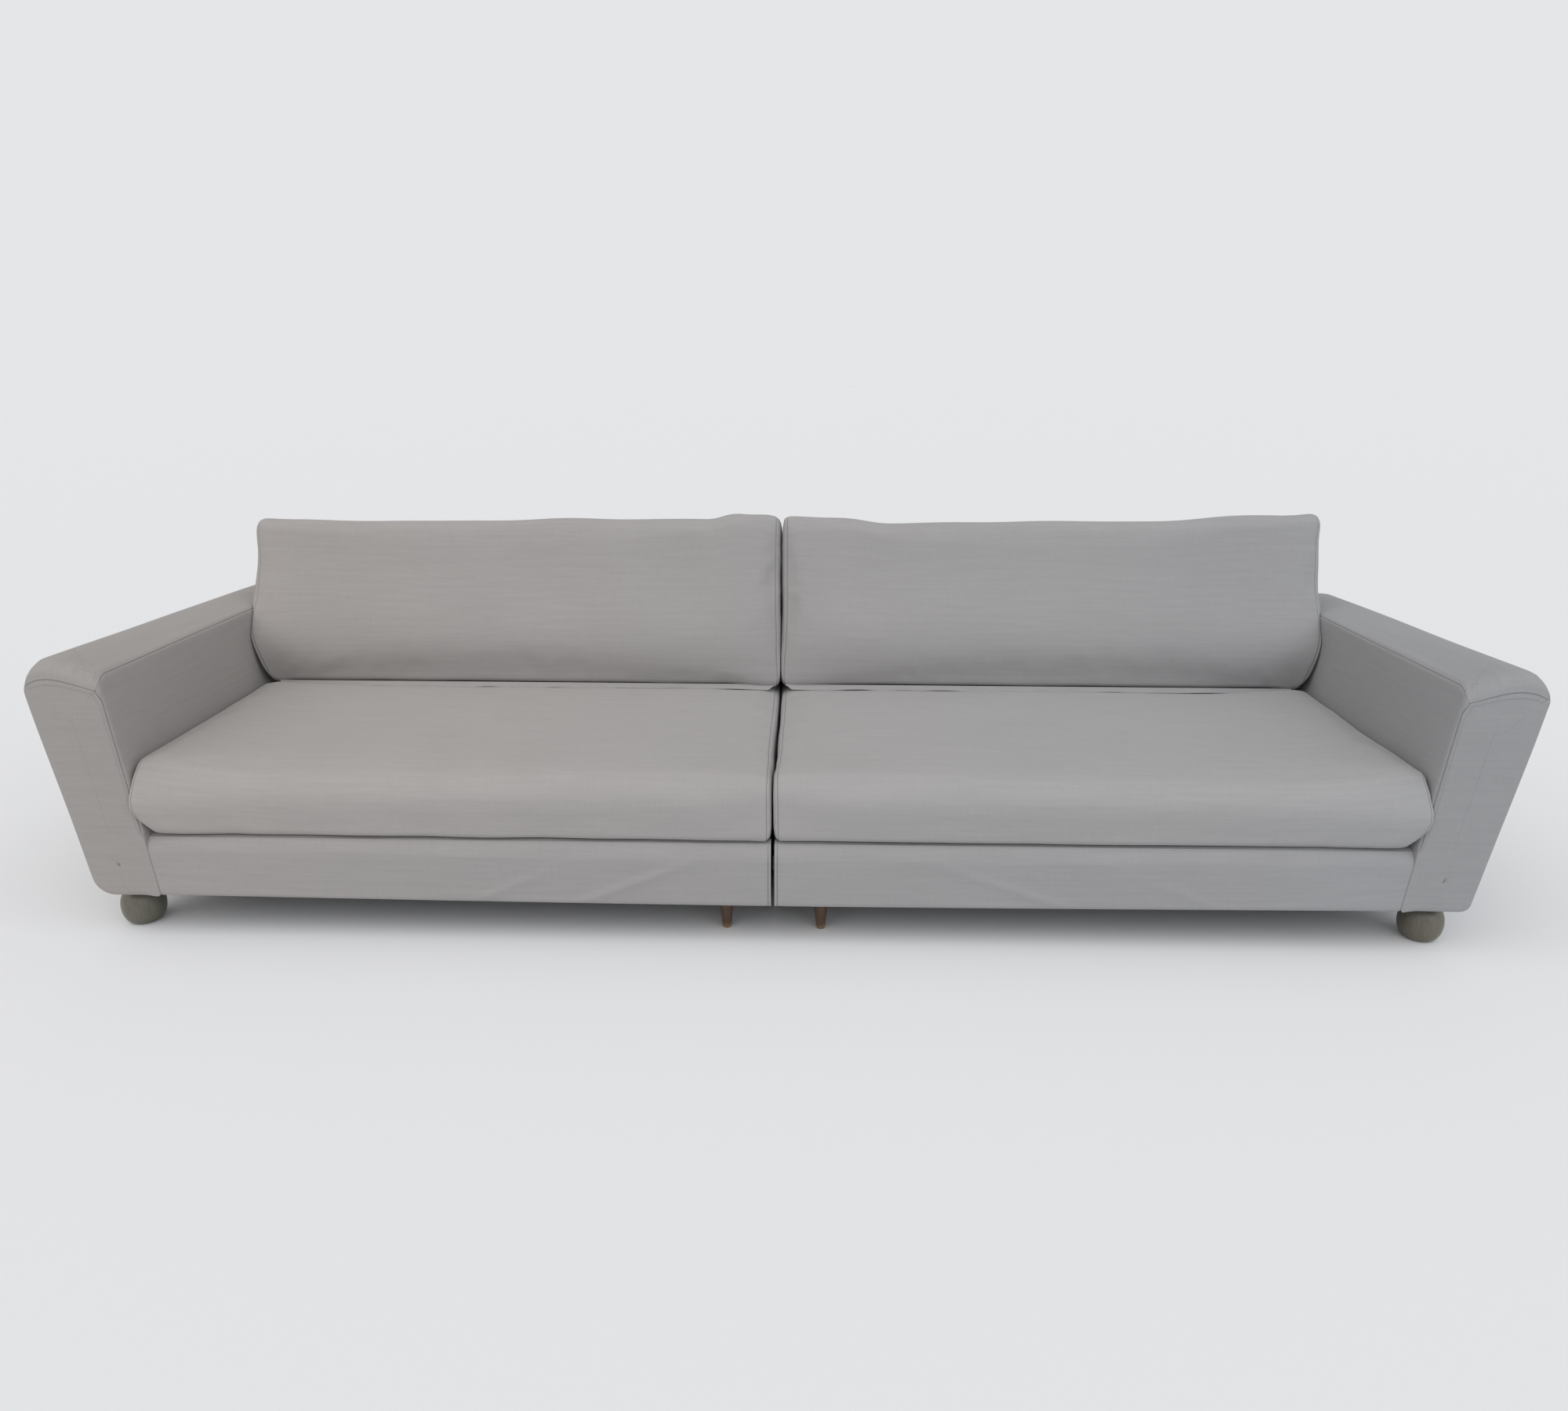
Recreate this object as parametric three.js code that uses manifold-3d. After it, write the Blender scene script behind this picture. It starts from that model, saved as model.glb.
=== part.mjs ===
// A four-seater sofa: two mirrored halves that hook together in the middle.
// Millimetres. X to the right, the front faces -Y, Z up. The origin is on the floor under the
// middle of the sofa. One half is built for x > 0, and the left half is its mirror image.
import * as THREE from 'three';
import { mergeVertices } from 'three/addons/utils/BufferGeometryUtils.js';
import Module from 'manifold-3d';

const wasm = await Module();
wasm.setup();

// The whole sofa
const overallWidth = 3210;
const overallDepth = 960;
const armHeight = 620;
const floorClearance = 100;
const halvesGap = 8;

// Clearance between pieces that touch, how far a cutting tool overruns, and the least rounding
const fit = 0.3;
const overrun = 20;
const leastRadius = 1;

// Arms: the outer and the inner face lean outwards, the rear face leans back
const armTopWidth = 179;
const armBottomWidth = 148;
const armOuterFlare = 78;
const armRearLean = 55;
const armOuterTopRadius = 36;
const armInnerTopRadius = 12;
const armOuterBottomRadius = 34;
const armInnerBottomRadius = 6;
const armFaceEdgeRadius = 12;
const armFrontTopRadius = 38;

// Upholstery over the timber frame
const paddingThickness = 16;
const railPadding = 14;
const wrapThickness = 3;
const liningThickness = 3;
const dustCoverThickness = 1.5;

// Seat box
const railTopHeight = 245;
const railSetback = 2;
const railEdgeRadius = 8;
const railTimber = 22;
const panelTimber = 18;
const boardTimber = 18;
const deckThickness = 8;
const rearRailSetIn = 54;
const legBoardWidth = 60;

// Low back
const backTopThickness = 100;
const backFrontLean = 84;
const backTopRadius = 14;

// Sinuous seat springs
const springWire = 4;
const springWidth = 48;
const springBearing = 14;
const tieWire = 3;

// Seat cushion
const cushionMateGap = 1.5;
const seatCushionFrontSetback = 4;
const seatCushionRearGap = 12;
const seatCushionFrontHeight = 142;
const seatCushionRearHeight = 158;
const seatCushionSideGap = 2.5;
const seatCushionEndRadius = 28;
const seatCushionEdgeRadius = 32;
const seatCushionFrontRadius = 46;
const seatCushionCrown = 11;
const seatCushionBulge = 3;

// Back cushion
const backCushionHeight = 441;
const backCushionBottomDepth = 160;
const backCushionTopDepth = 126;
const backCushionTopDrop = 26;
const backCushionSideGap = 4;
const backCushionEndLean = 20;
const backCushionEndRadius = 36;
const backCushionEdgeRadius = 30;
const backCushionTopRadius = 42;
const backCushionCrown = 52;
const backCushionTopCrown = 5;

// What fills and closes the cushions
const waddingThickness = 20;
const zipEndMargin = 110;
const zipSlit = 3;
const zipTapeWidth = 9;
const zipTapeThickness = 0.8;
const zipFlapDrop = 4;
const zipFlapHeight = 13;
const zipFlapRoot = 9;
const zipFlapThickness = 2.4;
const sliderLength = 14;
const sliderWidth = 6;
const sliderThickness = 3.2;
const pullLength = 18;
const pullWidth = 5;
const pullThickness = 1.2;

// Feet
const bunFootSetback = 80;
const bunFootRearSetback = 75;
const bunFootSideSetIn = 2;
const bunFootDiameter = 95;
const bunFootBaseDiameter = 60;
const bunFootWidestHeight = 42;
const bunFootWaistDiameter = 50;
const bunFootWaistHeight = 82;
const bunFootCollarDiameter = 64;
const bunFootCollarHeight = 13;
const bunFootNeckDiameter = 46;
const pegSetback = 80;
const pegFromMiddle = 109;
const pegTopDiameter = 40;
const pegTipDiameter = 21;
const pegTipHeight = 6;
const pegTipBevel = 3;

// Connectors: a forked plate on the left half holds a headed stud of the right half
const forkPlateThickness = 2.2;
const forkPlateWidth = 60;
const forkFlangeHeight = 34;
const forkSlotHeight = 24;
const forkMouthFlare = 5;
const studDiameter = 9;
const studHeadDiameter = 18;
const studBaseDiameter = 34;
const studBaseThickness = 1.8;
const screwHeadDiameter = 9;
const screwHeadHeight = 1.5;
const connectorPlay = 0.5;
const connectorHeight = 168;
const connectorFromRail = 120;

// Counts, and shares of the sizes above
const arcSteps = 4;
const cushionArcSteps = 5;
const cushionEdgeSplits = 2;
const foamArcSteps = 2;
const footSides = 14;
const pegSides = 12;
const studSides = 12;
const screwSides = 8;
const bunFootSteps = 3;
const springCount = 6;
const springWaves = 8;
const wireSides = 4;
const armEdgeShares = [0, 0.5, 1];
const cushionEndShares = [0, 0.36, 0.7, 1];
const cushionStationShares = [0.16, 0.36, 0.64, 0.84];
const springLegShares = [0.14, 0.36, 0.64, 0.86];
const tieWireShares = [0.28, 0.62];
const pullRoundingShare = 0.33;
const crownTightness = 6;
const seatCrownHeightShare = 0.5;
const backCrownHeightShare = 0.35;

// Places worked out from the sizes
const bodyHeight = armHeight - floorClearance;
const frontY = -overallDepth / 2;
const rearSlope = armRearLean / bodyHeight;
const rearTopY = overallDepth / 2 + armFaceEdgeRadius * rearSlope;
const rearBottomY = rearTopY - armRearLean;
const mateX = halvesGap / 2;

// The arm's outline has its corners where the faces would meet if no edge were rounded.
// Rounding the outer top corner takes a little off the overall width.
const outerTopHalfAngle = Math.atan2(bodyHeight, armOuterFlare) / 2;
const outerTopLoss = armOuterTopRadius * (1 / Math.tan(outerTopHalfAngle) - 1);
const armOuterTopX = overallWidth / 2 + outerTopLoss;
const armOuterBottomX = armOuterTopX - armOuterFlare;
const armInnerTopX = armOuterTopX - armTopWidth;
const armInnerBottomX = armOuterBottomX - armBottomWidth;
const armInnerSlope = (armInnerTopX - armInnerBottomX) / bodyHeight;
const armInnerX = (z) => armInnerBottomX + (z - floorClearance) * armInnerSlope;
const backFrontTopY = rearTopY - backTopThickness;
const backFrontY = (z) => backFrontTopY - (armHeight - z) * backFrontLean / bodyHeight;
const railFrontY = frontY + railSetback;
const railTimberFrontY = railFrontY + railPadding + fit;
const railTimberRearY = railTimberFrontY + railTimber;
const rearRailRearY = rearBottomY - rearRailSetIn;
const rearRailFrontY = rearRailRearY - railTimber;
const timberBottomZ = floorClearance + wrapThickness + fit;
const deckTopZ = railTopHeight - fit;
const deckBottomZ = deckTopZ - deckThickness;
const springZ = deckBottomZ - fit - springWire / 2;
const timberTopZ = springZ - springWire / 2 - fit;
const panelX = mateX + liningThickness + fit;
const endRailX = armInnerX(timberBottomZ) - fit;
const springFrontY = railTimberRearY - springBearing;
const springRearY = rearRailFrontY + springBearing;
const pegTopZ = timberBottomZ - fit - dustCoverThickness - fit;
const bunFootX = armOuterBottomX - bunFootSideSetIn - bunFootDiameter / 2;
const bunFootYs = [frontY + bunFootSetback, rearBottomY - bunFootRearSetback];
const pegYs = [frontY + pegSetback, rearRailFrontY - pegSetback];

// Finishes
const fabric = { color: '#a19d98', roughness: 0.95, metalness: 0 };
const blackCloth = { color: '#1d1c1c', roughness: 1, metalness: 0 };
const felt = { color: '#8d8a84', roughness: 1, metalness: 0 };
const timber = { color: '#c9a678', roughness: 0.75, metalness: 0 };
const plywood = { color: '#b8935f', roughness: 0.75, metalness: 0 };
const foam = { color: '#e3dcc4', roughness: 1, metalness: 0 };
const steel = { color: '#7c7f83', roughness: 0.45, metalness: 1 };
const brownWood = { color: '#4a3524', roughness: 0.55, metalness: 0 };
const footPaint = { color: '#5f5b4f', roughness: 0.6, metalness: 0 };
const zipMetal = { color: '#8f8a80', roughness: 0.4, metalness: 1 };

// Geometry to solid and back
function solidOf(geometry) {
  const bare = geometry.clone();
  bare.deleteAttribute('normal');
  bare.deleteAttribute('uv');
  const merged = mergeVertices(bare);
  return new wasm.Manifold(new wasm.Mesh({
    numProp: 3,
    vertProperties: new Float32Array(merged.attributes.position.array),
    triVerts: new Uint32Array(merged.index.array),
  }));
}

function geometryOf(solid) {
  const mesh = solid.getMesh();
  const geometry = new THREE.BufferGeometry();
  geometry.setAttribute('position', new THREE.BufferAttribute(mesh.vertProperties, mesh.numProp));
  geometry.setIndex(new THREE.BufferAttribute(mesh.triVerts, 1));
  geometry.computeVertexNormals();
  return geometry;
}

// A box between two corners
function block([x0, y0, z0], [x1, y1, z1]) {
  const box = new THREE.BoxGeometry(x1 - x0, y1 - y0, z1 - z0);
  return solidOf(box.translate((x0 + x1) / 2, (y0 + y1) / 2, (z0 + z1) / 2));
}

// An outline extruded along an axis: points are (y, z) along X, and (x, z) along Y
function extruded(points, depth) {
  return new THREE.ExtrudeGeometry(new THREE.Shape(points), { depth, bevelEnabled: false });
}

const shapePoints = (pairs) => pairs.map(([a, b]) => new THREE.Vector2(a, b));

const alongX = new THREE.Matrix4().makeBasis(
  new THREE.Vector3(0, 1, 0), new THREE.Vector3(0, 0, 1), new THREE.Vector3(1, 0, 0));
const alongY = new THREE.Matrix4().makeBasis(
  new THREE.Vector3(1, 0, 0), new THREE.Vector3(0, 0, 1), new THREE.Vector3(0, -1, 0));

function prismX(points, x0, x1) {
  return solidOf(extruded(points, x1 - x0).applyMatrix4(alongX).translate(x0, 0, 0));
}

function prismY(points, y0, y1) {
  return solidOf(extruded(points, y1 - y0).applyMatrix4(alongY).translate(0, y1, 0));
}

// A convex anticlockwise outline moved inwards by inset, its corners rounded by arcs.
// Each corner is { at: [a, b], radius }; splits adds points on the edge after a corner.
function roundedOutline(corners, inset, steps = arcSteps, splits = 0) {
  const points = [];
  const count = corners.length;
  const place = (i) => new THREE.Vector2(...corners[(i + count) % count].at);
  corners.forEach((corner, i) => {
    const here = place(i);
    const toBefore = place(i - 1).sub(here).normalize();
    const toAfter = place(i + 1).sub(here).normalize();
    const halfAngle = Math.acos(toBefore.dot(toAfter)) / 2;
    const inwards = toBefore.clone().add(toAfter).normalize();
    const radius = Math.max(corner.radius - inset, leastRadius);
    const centre = here.clone().addScaledVector(inwards, (inset + radius) / Math.sin(halfAngle));
    const middle = inwards.clone().negate().angle();
    const sweep = Math.PI - 2 * halfAngle;
    for (let k = 0; k <= steps; k += 1) {
      const angle = middle + sweep * (k / steps - 1 / 2);
      points.push(new THREE.Vector2(
        centre.x + radius * Math.cos(angle), centre.y + radius * Math.sin(angle)));
    }
  });
  if (splits === 0) {
    return points;
  }
  const fine = [];
  points.forEach((point, i) => {
    fine.push(point);
    if (i % (steps + 1) === steps) {
      const next = points[(i + 1) % points.length];
      for (let k = 1; k <= splits; k += 1) {
        fine.push(point.clone().lerp(next, k / (splits + 1)));
      }
    }
  });
  return fine;
}

// A closed solid through rings of equally many points, its two ends closed by fans
function loft(rings) {
  const count = rings[0].length;
  const positions = rings.flat().flatMap((p) => [p.x, p.y, p.z]);
  const faces = [];
  for (let r = 0; r + 1 < rings.length; r += 1) {
    for (let k = 0; k < count; k += 1) {
      const a = r * count + k;
      const b = r * count + (k + 1) % count;
      faces.push(a, b, b + count, a, b + count, a + count);
    }
  }
  [0, rings.length - 1].forEach((r) => {
    const centre = rings[r].reduce((sum, p) => sum.add(p), new THREE.Vector3());
    centre.divideScalar(count);
    const hub = positions.length / 3;
    positions.push(centre.x, centre.y, centre.z);
    for (let k = 0; k < count; k += 1) {
      const a = r * count + k;
      const b = r * count + (k + 1) % count;
      faces.push(...(r === 0 ? [hub, b, a] : [hub, a, b]));
    }
  });
  const geometry = new THREE.BufferGeometry();
  geometry.setAttribute('position', new THREE.Float32BufferAttribute(positions, 3));
  geometry.setIndex(faces);
  const solid = solidOf(geometry);
  if (solid.volume() > 0) {
    return solid;
  }
  for (let i = 0; i < faces.length; i += 3) {
    [faces[i], faces[i + 1]] = [faces[i + 1], faces[i]];
  }
  geometry.setIndex(faces);
  return solidOf(geometry);
}

// The quarter round at the two ends of a loft: how far each ring is from the end, and its inset
function endRounding(radius, shares) {
  return shares.map((share) => ({
    from: radius * (1 - Math.cos(share * Math.PI / 2)),
    inset: radius * (1 - Math.sin(share * Math.PI / 2)),
  }));
}

function mesh(name, solid, finish) {
  const geometry = solid.isBufferGeometry ? solid : geometryOf(solid);
  const piece = new THREE.Mesh(geometry, new THREE.MeshStandardMaterial(finish));
  piece.name = name;
  return piece;
}

// The arm's form, moved inwards by inset: a rounded outline carried from front to rear,
// sheared so that its rear leans back, with its front top edge rounded as seen from the side
function armForm(inset) {
  const corners = [
    { at: [armInnerBottomX, floorClearance], radius: armInnerBottomRadius },
    { at: [armOuterBottomX, floorClearance], radius: armOuterBottomRadius },
    { at: [armOuterTopX, armHeight], radius: armOuterTopRadius },
    { at: [armInnerTopX, armHeight], radius: armInnerTopRadius },
  ];
  const front = frontY + inset;
  const rear = rearBottomY - inset;
  const edge = endRounding(Math.max(armFaceEdgeRadius - inset, leastRadius), armEdgeShares);
  const stations = [
    ...edge.map((ring) => ({ y: front + ring.from, inset: ring.inset })),
    ...edge.map((ring) => ({ y: rear - ring.from, inset: ring.inset })).reverse(),
  ];
  const rings = stations.map((station) => {
    const leanShare = (station.y - front) / (rear - front);
    return roundedOutline(corners, inset + station.inset).map((p) => new THREE.Vector3(
      p.x, station.y + leanShare * (p.y - floorClearance) * rearSlope, p.y));
  });
  return loft(rings).subtract(frontTopCutter(inset));
}

// What the front top rounding takes away from a block whose corner it is
function frontTopCutter(inset) {
  const radius = Math.max(armFrontTopRadius - inset, leastRadius);
  const centreY = frontY + inset + radius;
  const centreZ = armHeight - inset - radius;
  const points = [
    new THREE.Vector2(centreY, armHeight + overrun),
    new THREE.Vector2(frontY - overrun, armHeight + overrun),
    new THREE.Vector2(frontY - overrun, centreZ),
  ];
  for (let k = 0; k <= arcSteps + 1; k += 1) {
    const angle = Math.PI - k / (arcSteps + 1) * Math.PI / 2;
    points.push(new THREE.Vector2(
      centreY + radius * Math.cos(angle), centreZ + radius * Math.sin(angle)));
  }
  return prismX(points, 0, armOuterTopX + overrun);
}

// The low back's form, moved inwards by inset
function backForm(inset, x0, x1) {
  const corners = [
    { at: [backFrontY(floorClearance), floorClearance], radius: leastRadius },
    { at: [rearBottomY, floorClearance], radius: armInnerBottomRadius },
    { at: [rearTopY, armHeight], radius: backTopRadius },
    { at: [backFrontTopY, armHeight], radius: backTopRadius },
  ];
  return prismX(roundedOutline(corners, inset), x0, x1);
}

// Everything on the arm's side of its inner face, less the clearance
function armSide() {
  const low = -overrun;
  const high = armHeight + overrun;
  return prismY(shapePoints([
    [armInnerX(low) - fit, low],
    [armOuterTopX, low],
    [armOuterTopX, high],
    [armInnerX(high) - fit, high],
  ]), frontY - overrun, rearTopY + overrun);
}

// Covers of the fixed frame
function armCover() {
  const shell = armForm(0).subtract(armForm(paddingThickness));
  return bunFootYs.reduce((cover, y) => cover.subtract(bunFootHole(y)), shell);
}

function frontRailCover() {
  const corners = [
    { at: [railFrontY, floorClearance], radius: railEdgeRadius },
    { at: [railTimberRearY, floorClearance], radius: leastRadius },
    { at: [railTimberRearY, railTopHeight], radius: leastRadius },
    { at: [railFrontY, railTopHeight], radius: railEdgeRadius },
  ];
  const hollow = block(
    [0, railTimberFrontY - fit, floorClearance + wrapThickness],
    [armOuterTopX, railTimberRearY + overrun, railTopHeight - wrapThickness]);
  return prismX(roundedOutline(corners, 0), mateX, armInnerTopX)
    .subtract(hollow)
    .subtract(armSide());
}

function backCover() {
  return backForm(0, panelX, armInnerTopX + overrun)
    .subtract(backForm(paddingThickness, 0, armOuterTopX))
    .subtract(seatRoom(0))
    .subtract(armSide());
}

// The seat box, and what lies on it and under it
function seatDeck() {
  return block(
    [panelX, railTimberRearY + fit, deckBottomZ],
    [armInnerX(deckBottomZ) - fit, rearRailRearY, deckTopZ]);
}

function dustCover() {
  return block(
    [panelX, railTimberRearY + fit, timberBottomZ - fit - dustCoverThickness],
    [endRailX, rearRailRearY, timberBottomZ - fit]);
}

function frontRail() {
  return block(
    [panelX, railTimberFrontY, timberBottomZ],
    [endRailX, railTimberRearY, timberTopZ]);
}

function rearRail() {
  return block(
    [panelX + panelTimber + fit, rearRailFrontY, timberBottomZ],
    [endRailX, rearRailRearY, timberTopZ]);
}

function outerEndRail() {
  return block(
    [endRailX - railTimber, railTimberRearY + fit, timberBottomZ],
    [endRailX, rearRailFrontY - fit, timberTopZ]);
}

function legBoard() {
  return block(
    [pegFromMiddle - legBoardWidth / 2, railTimberRearY + fit, timberBottomZ],
    [pegFromMiddle + legBoardWidth / 2, rearRailFrontY - fit, timberBottomZ + boardTimber]);
}

// Room in front of the back, above a height, for the deck, the springs' ends and the rear rail
function seatRoom(bottomZ) {
  return block([0, frontY, bottomZ], [armOuterTopX, rearRailRearY + fit, railTopHeight]);
}

// One plywood gable closes the seat box and the back at the mating side
function innerEndPanel() {
  const seatPart = block(
    [panelX, railTimberRearY + fit, timberBottomZ],
    [panelX + panelTimber, rearRailRearY, timberTopZ]);
  return backForm(paddingThickness + fit, panelX, panelX + panelTimber)
    .subtract(seatRoom(timberTopZ))
    .add(seatPart);
}

function endLining() {
  const seatPart = block(
    [mateX, railTimberRearY + fit, floorClearance],
    [panelX - fit, rearRailRearY, deckTopZ]);
  return backForm(0, mateX, panelX - fit).add(seatPart);
}

function backPostOuter() {
  return backForm(paddingThickness + fit, endRailX - panelTimber, endRailX)
    .subtract(seatRoom(0));
}

function backTopRail() {
  const topZ = armHeight - paddingThickness - fit;
  const x0 = panelX + panelTimber + fit;
  const x1 = endRailX - panelTimber - fit;
  return backForm(paddingThickness + fit, x0, x1)
    .intersect(block([x0, 0, topZ - railTimber], [x1, overallDepth, topZ]));
}

// The timber frame inside the arm's cover: a base and a top board between two gables
function armFrame() {
  const core = armForm(paddingThickness + fit);
  const coreBottomZ = floorClearance + paddingThickness + fit;
  const baseTopZ = coreBottomZ + boardTimber;
  const topBoardZ = armHeight - paddingThickness - fit - boardTimber;
  const frontGableRearY = frontY + paddingThickness + fit + boardTimber;
  const rearGableFrontY = rearBottomY - paddingThickness - fit - boardTimber;
  return {
    base: core.intersect(block([0, frontY, floorClearance], [armOuterTopX, overallDepth, baseTopZ])),
    frontGable: core.intersect(block(
      [0, frontY, baseTopZ + fit], [armOuterTopX, frontGableRearY, armHeight])),
    rearGable: core.intersect(behindLeaningPlane(rearGableFrontY, baseTopZ + fit)),
    top: core
      .intersect(block([0, frontGableRearY + fit, topBoardZ], [armOuterTopX, overallDepth, armHeight]))
      .subtract(behindLeaningPlane(rearGableFrontY - fit, topBoardZ - overrun)),
  };
}

// Everything behind a plane that leans back with the arm's rear face, above z0
function behindLeaningPlane(bottomY, z0) {
  const planeY = (z) => bottomY + (z - floorClearance) * rearSlope;
  const points = [
    new THREE.Vector2(planeY(z0), z0),
    new THREE.Vector2(overallDepth, z0),
    new THREE.Vector2(overallDepth, armHeight),
    new THREE.Vector2(planeY(armHeight), armHeight),
  ];
  return prismX(points, 0, armOuterTopX);
}

// Sinuous springs from rail to rail, each a square wave of wire, held together by tie wires
function seatSprings() {
  const x0 = panelX + panelTimber;
  const pitch = (endRailX - railTimber - x0) / springCount;
  const springs = [];
  for (let i = 0; i < springCount; i += 1) {
    springs.push(wire(springPath(x0 + (i + 1 / 2) * pitch), springWire / 2));
  }
  const ties = tieWireShares.map((share) => {
    const y = THREE.MathUtils.lerp(springFrontY, springRearY, share);
    const z = springZ - springWire / 2;
    const ends = [x0 + fit, endRailX - railTimber - fit];
    return wire(ends.map((x) => new THREE.Vector3(x, y, z)), tieWire / 2);
  });
  return wasm.Manifold.union([...springs, ...ties]);
}

function springPath(x) {
  const start = springFrontY + springBearing;
  const waveLength = (springRearY - springBearing - start) / springWaves;
  const sides = [1, 1, -1, -1].map((sign) => sign * springWidth / 2);
  const points = [new THREE.Vector3(x, springFrontY, springZ)];
  for (let k = 0; k < springWaves; k += 1) {
    springLegShares.forEach((share, i) => {
      points.push(new THREE.Vector3(x + sides[i], start + (k + share) * waveLength, springZ));
    });
  }
  points.push(new THREE.Vector3(x, springRearY, springZ));
  return points;
}

// Wire of few sides along a path that lies flat, mitred at its corners
function wire(points, radius) {
  const up = new THREE.Vector3(0, 0, 1);
  const rings = points.map((point, i) => {
    const before = point.clone().sub(points[Math.max(i - 1, 0)]).normalize();
    const after = points[Math.min(i + 1, points.length - 1)].clone().sub(point).normalize();
    const along = before.clone().add(after).normalize();
    const mitre = i === 0 || i === points.length - 1 ? 1 : 1 / along.dot(after);
    const across = along.clone().cross(up);
    const ring = [];
    for (let k = 0; k < wireSides; k += 1) {
      const angle = k / wireSides * 2 * Math.PI;
      ring.push(point.clone()
        .addScaledVector(across, mitre * radius * Math.cos(angle))
        .addScaledVector(up, radius * Math.sin(angle)));
    }
    return ring;
  });
  return loft(rings);
}

// A cushion's form: an outline in Y and Z carried along X. Its ends are rounded, its outer end
// leans with the arm, and it swells towards the middle of its top and of its front.
function cushionForm(cushion) {
  const { innerX, outerX, corners } = cushion;
  const ends = endRounding(cushion.endRadius, cushionEndShares);
  const stations = [
    ...ends.map((ring) => ({ x: innerX + ring.from, inset: ring.inset })),
    ...cushionStationShares.map((share) => ({
      x: THREE.MathUtils.lerp(innerX, outerX, share), inset: 0 })),
    ...ends.map((ring) => ({ x: outerX - ring.from, inset: ring.inset })).reverse(),
  ];
  const across = extent(corners.map((corner) => corner.at[0]));
  const upright = extent(corners.map((corner) => corner.at[1]));
  const rings = stations.map((station) => {
    const along = (station.x - innerX) / (outerX - innerX);
    const swell = 1 - Math.abs(2 * along - 1) ** 6;
    const outline = roundedOutline(corners, station.inset, cushionArcSteps, cushionEdgeSplits);
    return outline.map((p) => {
      const y = (p.x - across.middle) / across.half;
      const z = (p.y - upright.middle) / upright.half;
      const rise = cushion.topCrown * swell * (1 - y ** 4) * Math.max(z, 0);
      const bulge = cushion.frontCrown * swell * crownShare(cushion, p);
      return new THREE.Vector3(
        station.x + along * cushion.endLean * z, p.x - bulge, p.y + rise);
    });
  });
  return loft(rings);
}

// How much of a cushion's front crown a point of its outline takes: all of it on the front face at
// the crown's height, less towards the top and the bottom, none from the middle of the depth on
function crownShare({ corners, crownHeightShare }, p) {
  const [frontBottom, rearBottom, rearTop, frontTop] = corners.map((corner) => corner.at);
  const up = THREE.MathUtils.clamp(
    (p.y - frontBottom[1]) / (frontTop[1] - frontBottom[1]), 0, 1);
  const front = THREE.MathUtils.lerp(frontBottom[0], frontTop[0], up);
  const rear = THREE.MathUtils.lerp(rearBottom[0], rearTop[0], up);
  const behind = (p.x - front) / (rear - front);
  const low = (up / crownHeightShare) ** (crownTightness * crownHeightShare);
  const high = ((1 - up) / (1 - crownHeightShare)) ** (crownTightness * (1 - crownHeightShare));
  return low * high * Math.max(1 - 2 * behind, 0);
}

function extent(values) {
  const low = Math.min(...values);
  const high = Math.max(...values);
  return { middle: (low + high) / 2, half: (high - low) / 2 };
}

// The foam block inside a cushion, or the room for it when grown by a clearance
function foamBlock(cushion, clearance) {
  const inset = waddingThickness - clearance;
  const outline = roundedOutline(cushion.corners, inset, foamArcSteps);
  return prismX(outline, cushion.innerX + inset, cushion.outerX - cushion.endLean - inset);
}

const seatCushionFrontY = frontY + seatCushionFrontSetback;
const seatCushionRearY = backFrontY(deckTopZ) - seatCushionRearGap;
const seatCushionBottomZ = deckTopZ + fit;
const seatCushion = {
  innerX: cushionMateGap,
  outerX: armInnerX(deckTopZ + seatCushionRearHeight / 2) - seatCushionSideGap,
  endLean: armInnerSlope * seatCushionRearHeight / 2,
  endRadius: seatCushionEndRadius,
  topCrown: seatCushionCrown,
  frontCrown: seatCushionBulge,
  crownHeightShare: seatCrownHeightShare,
  corners: [
    { at: [seatCushionFrontY, seatCushionBottomZ], radius: seatCushionEdgeRadius },
    { at: [seatCushionRearY, seatCushionBottomZ], radius: seatCushionEdgeRadius },
    { at: [seatCushionRearY, seatCushionBottomZ + seatCushionRearHeight],
      radius: seatCushionEdgeRadius },
    { at: [seatCushionFrontY, seatCushionBottomZ + seatCushionFrontHeight],
      radius: seatCushionFrontRadius },
  ],
};
const seatForm = cushionForm(seatCushion);

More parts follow.
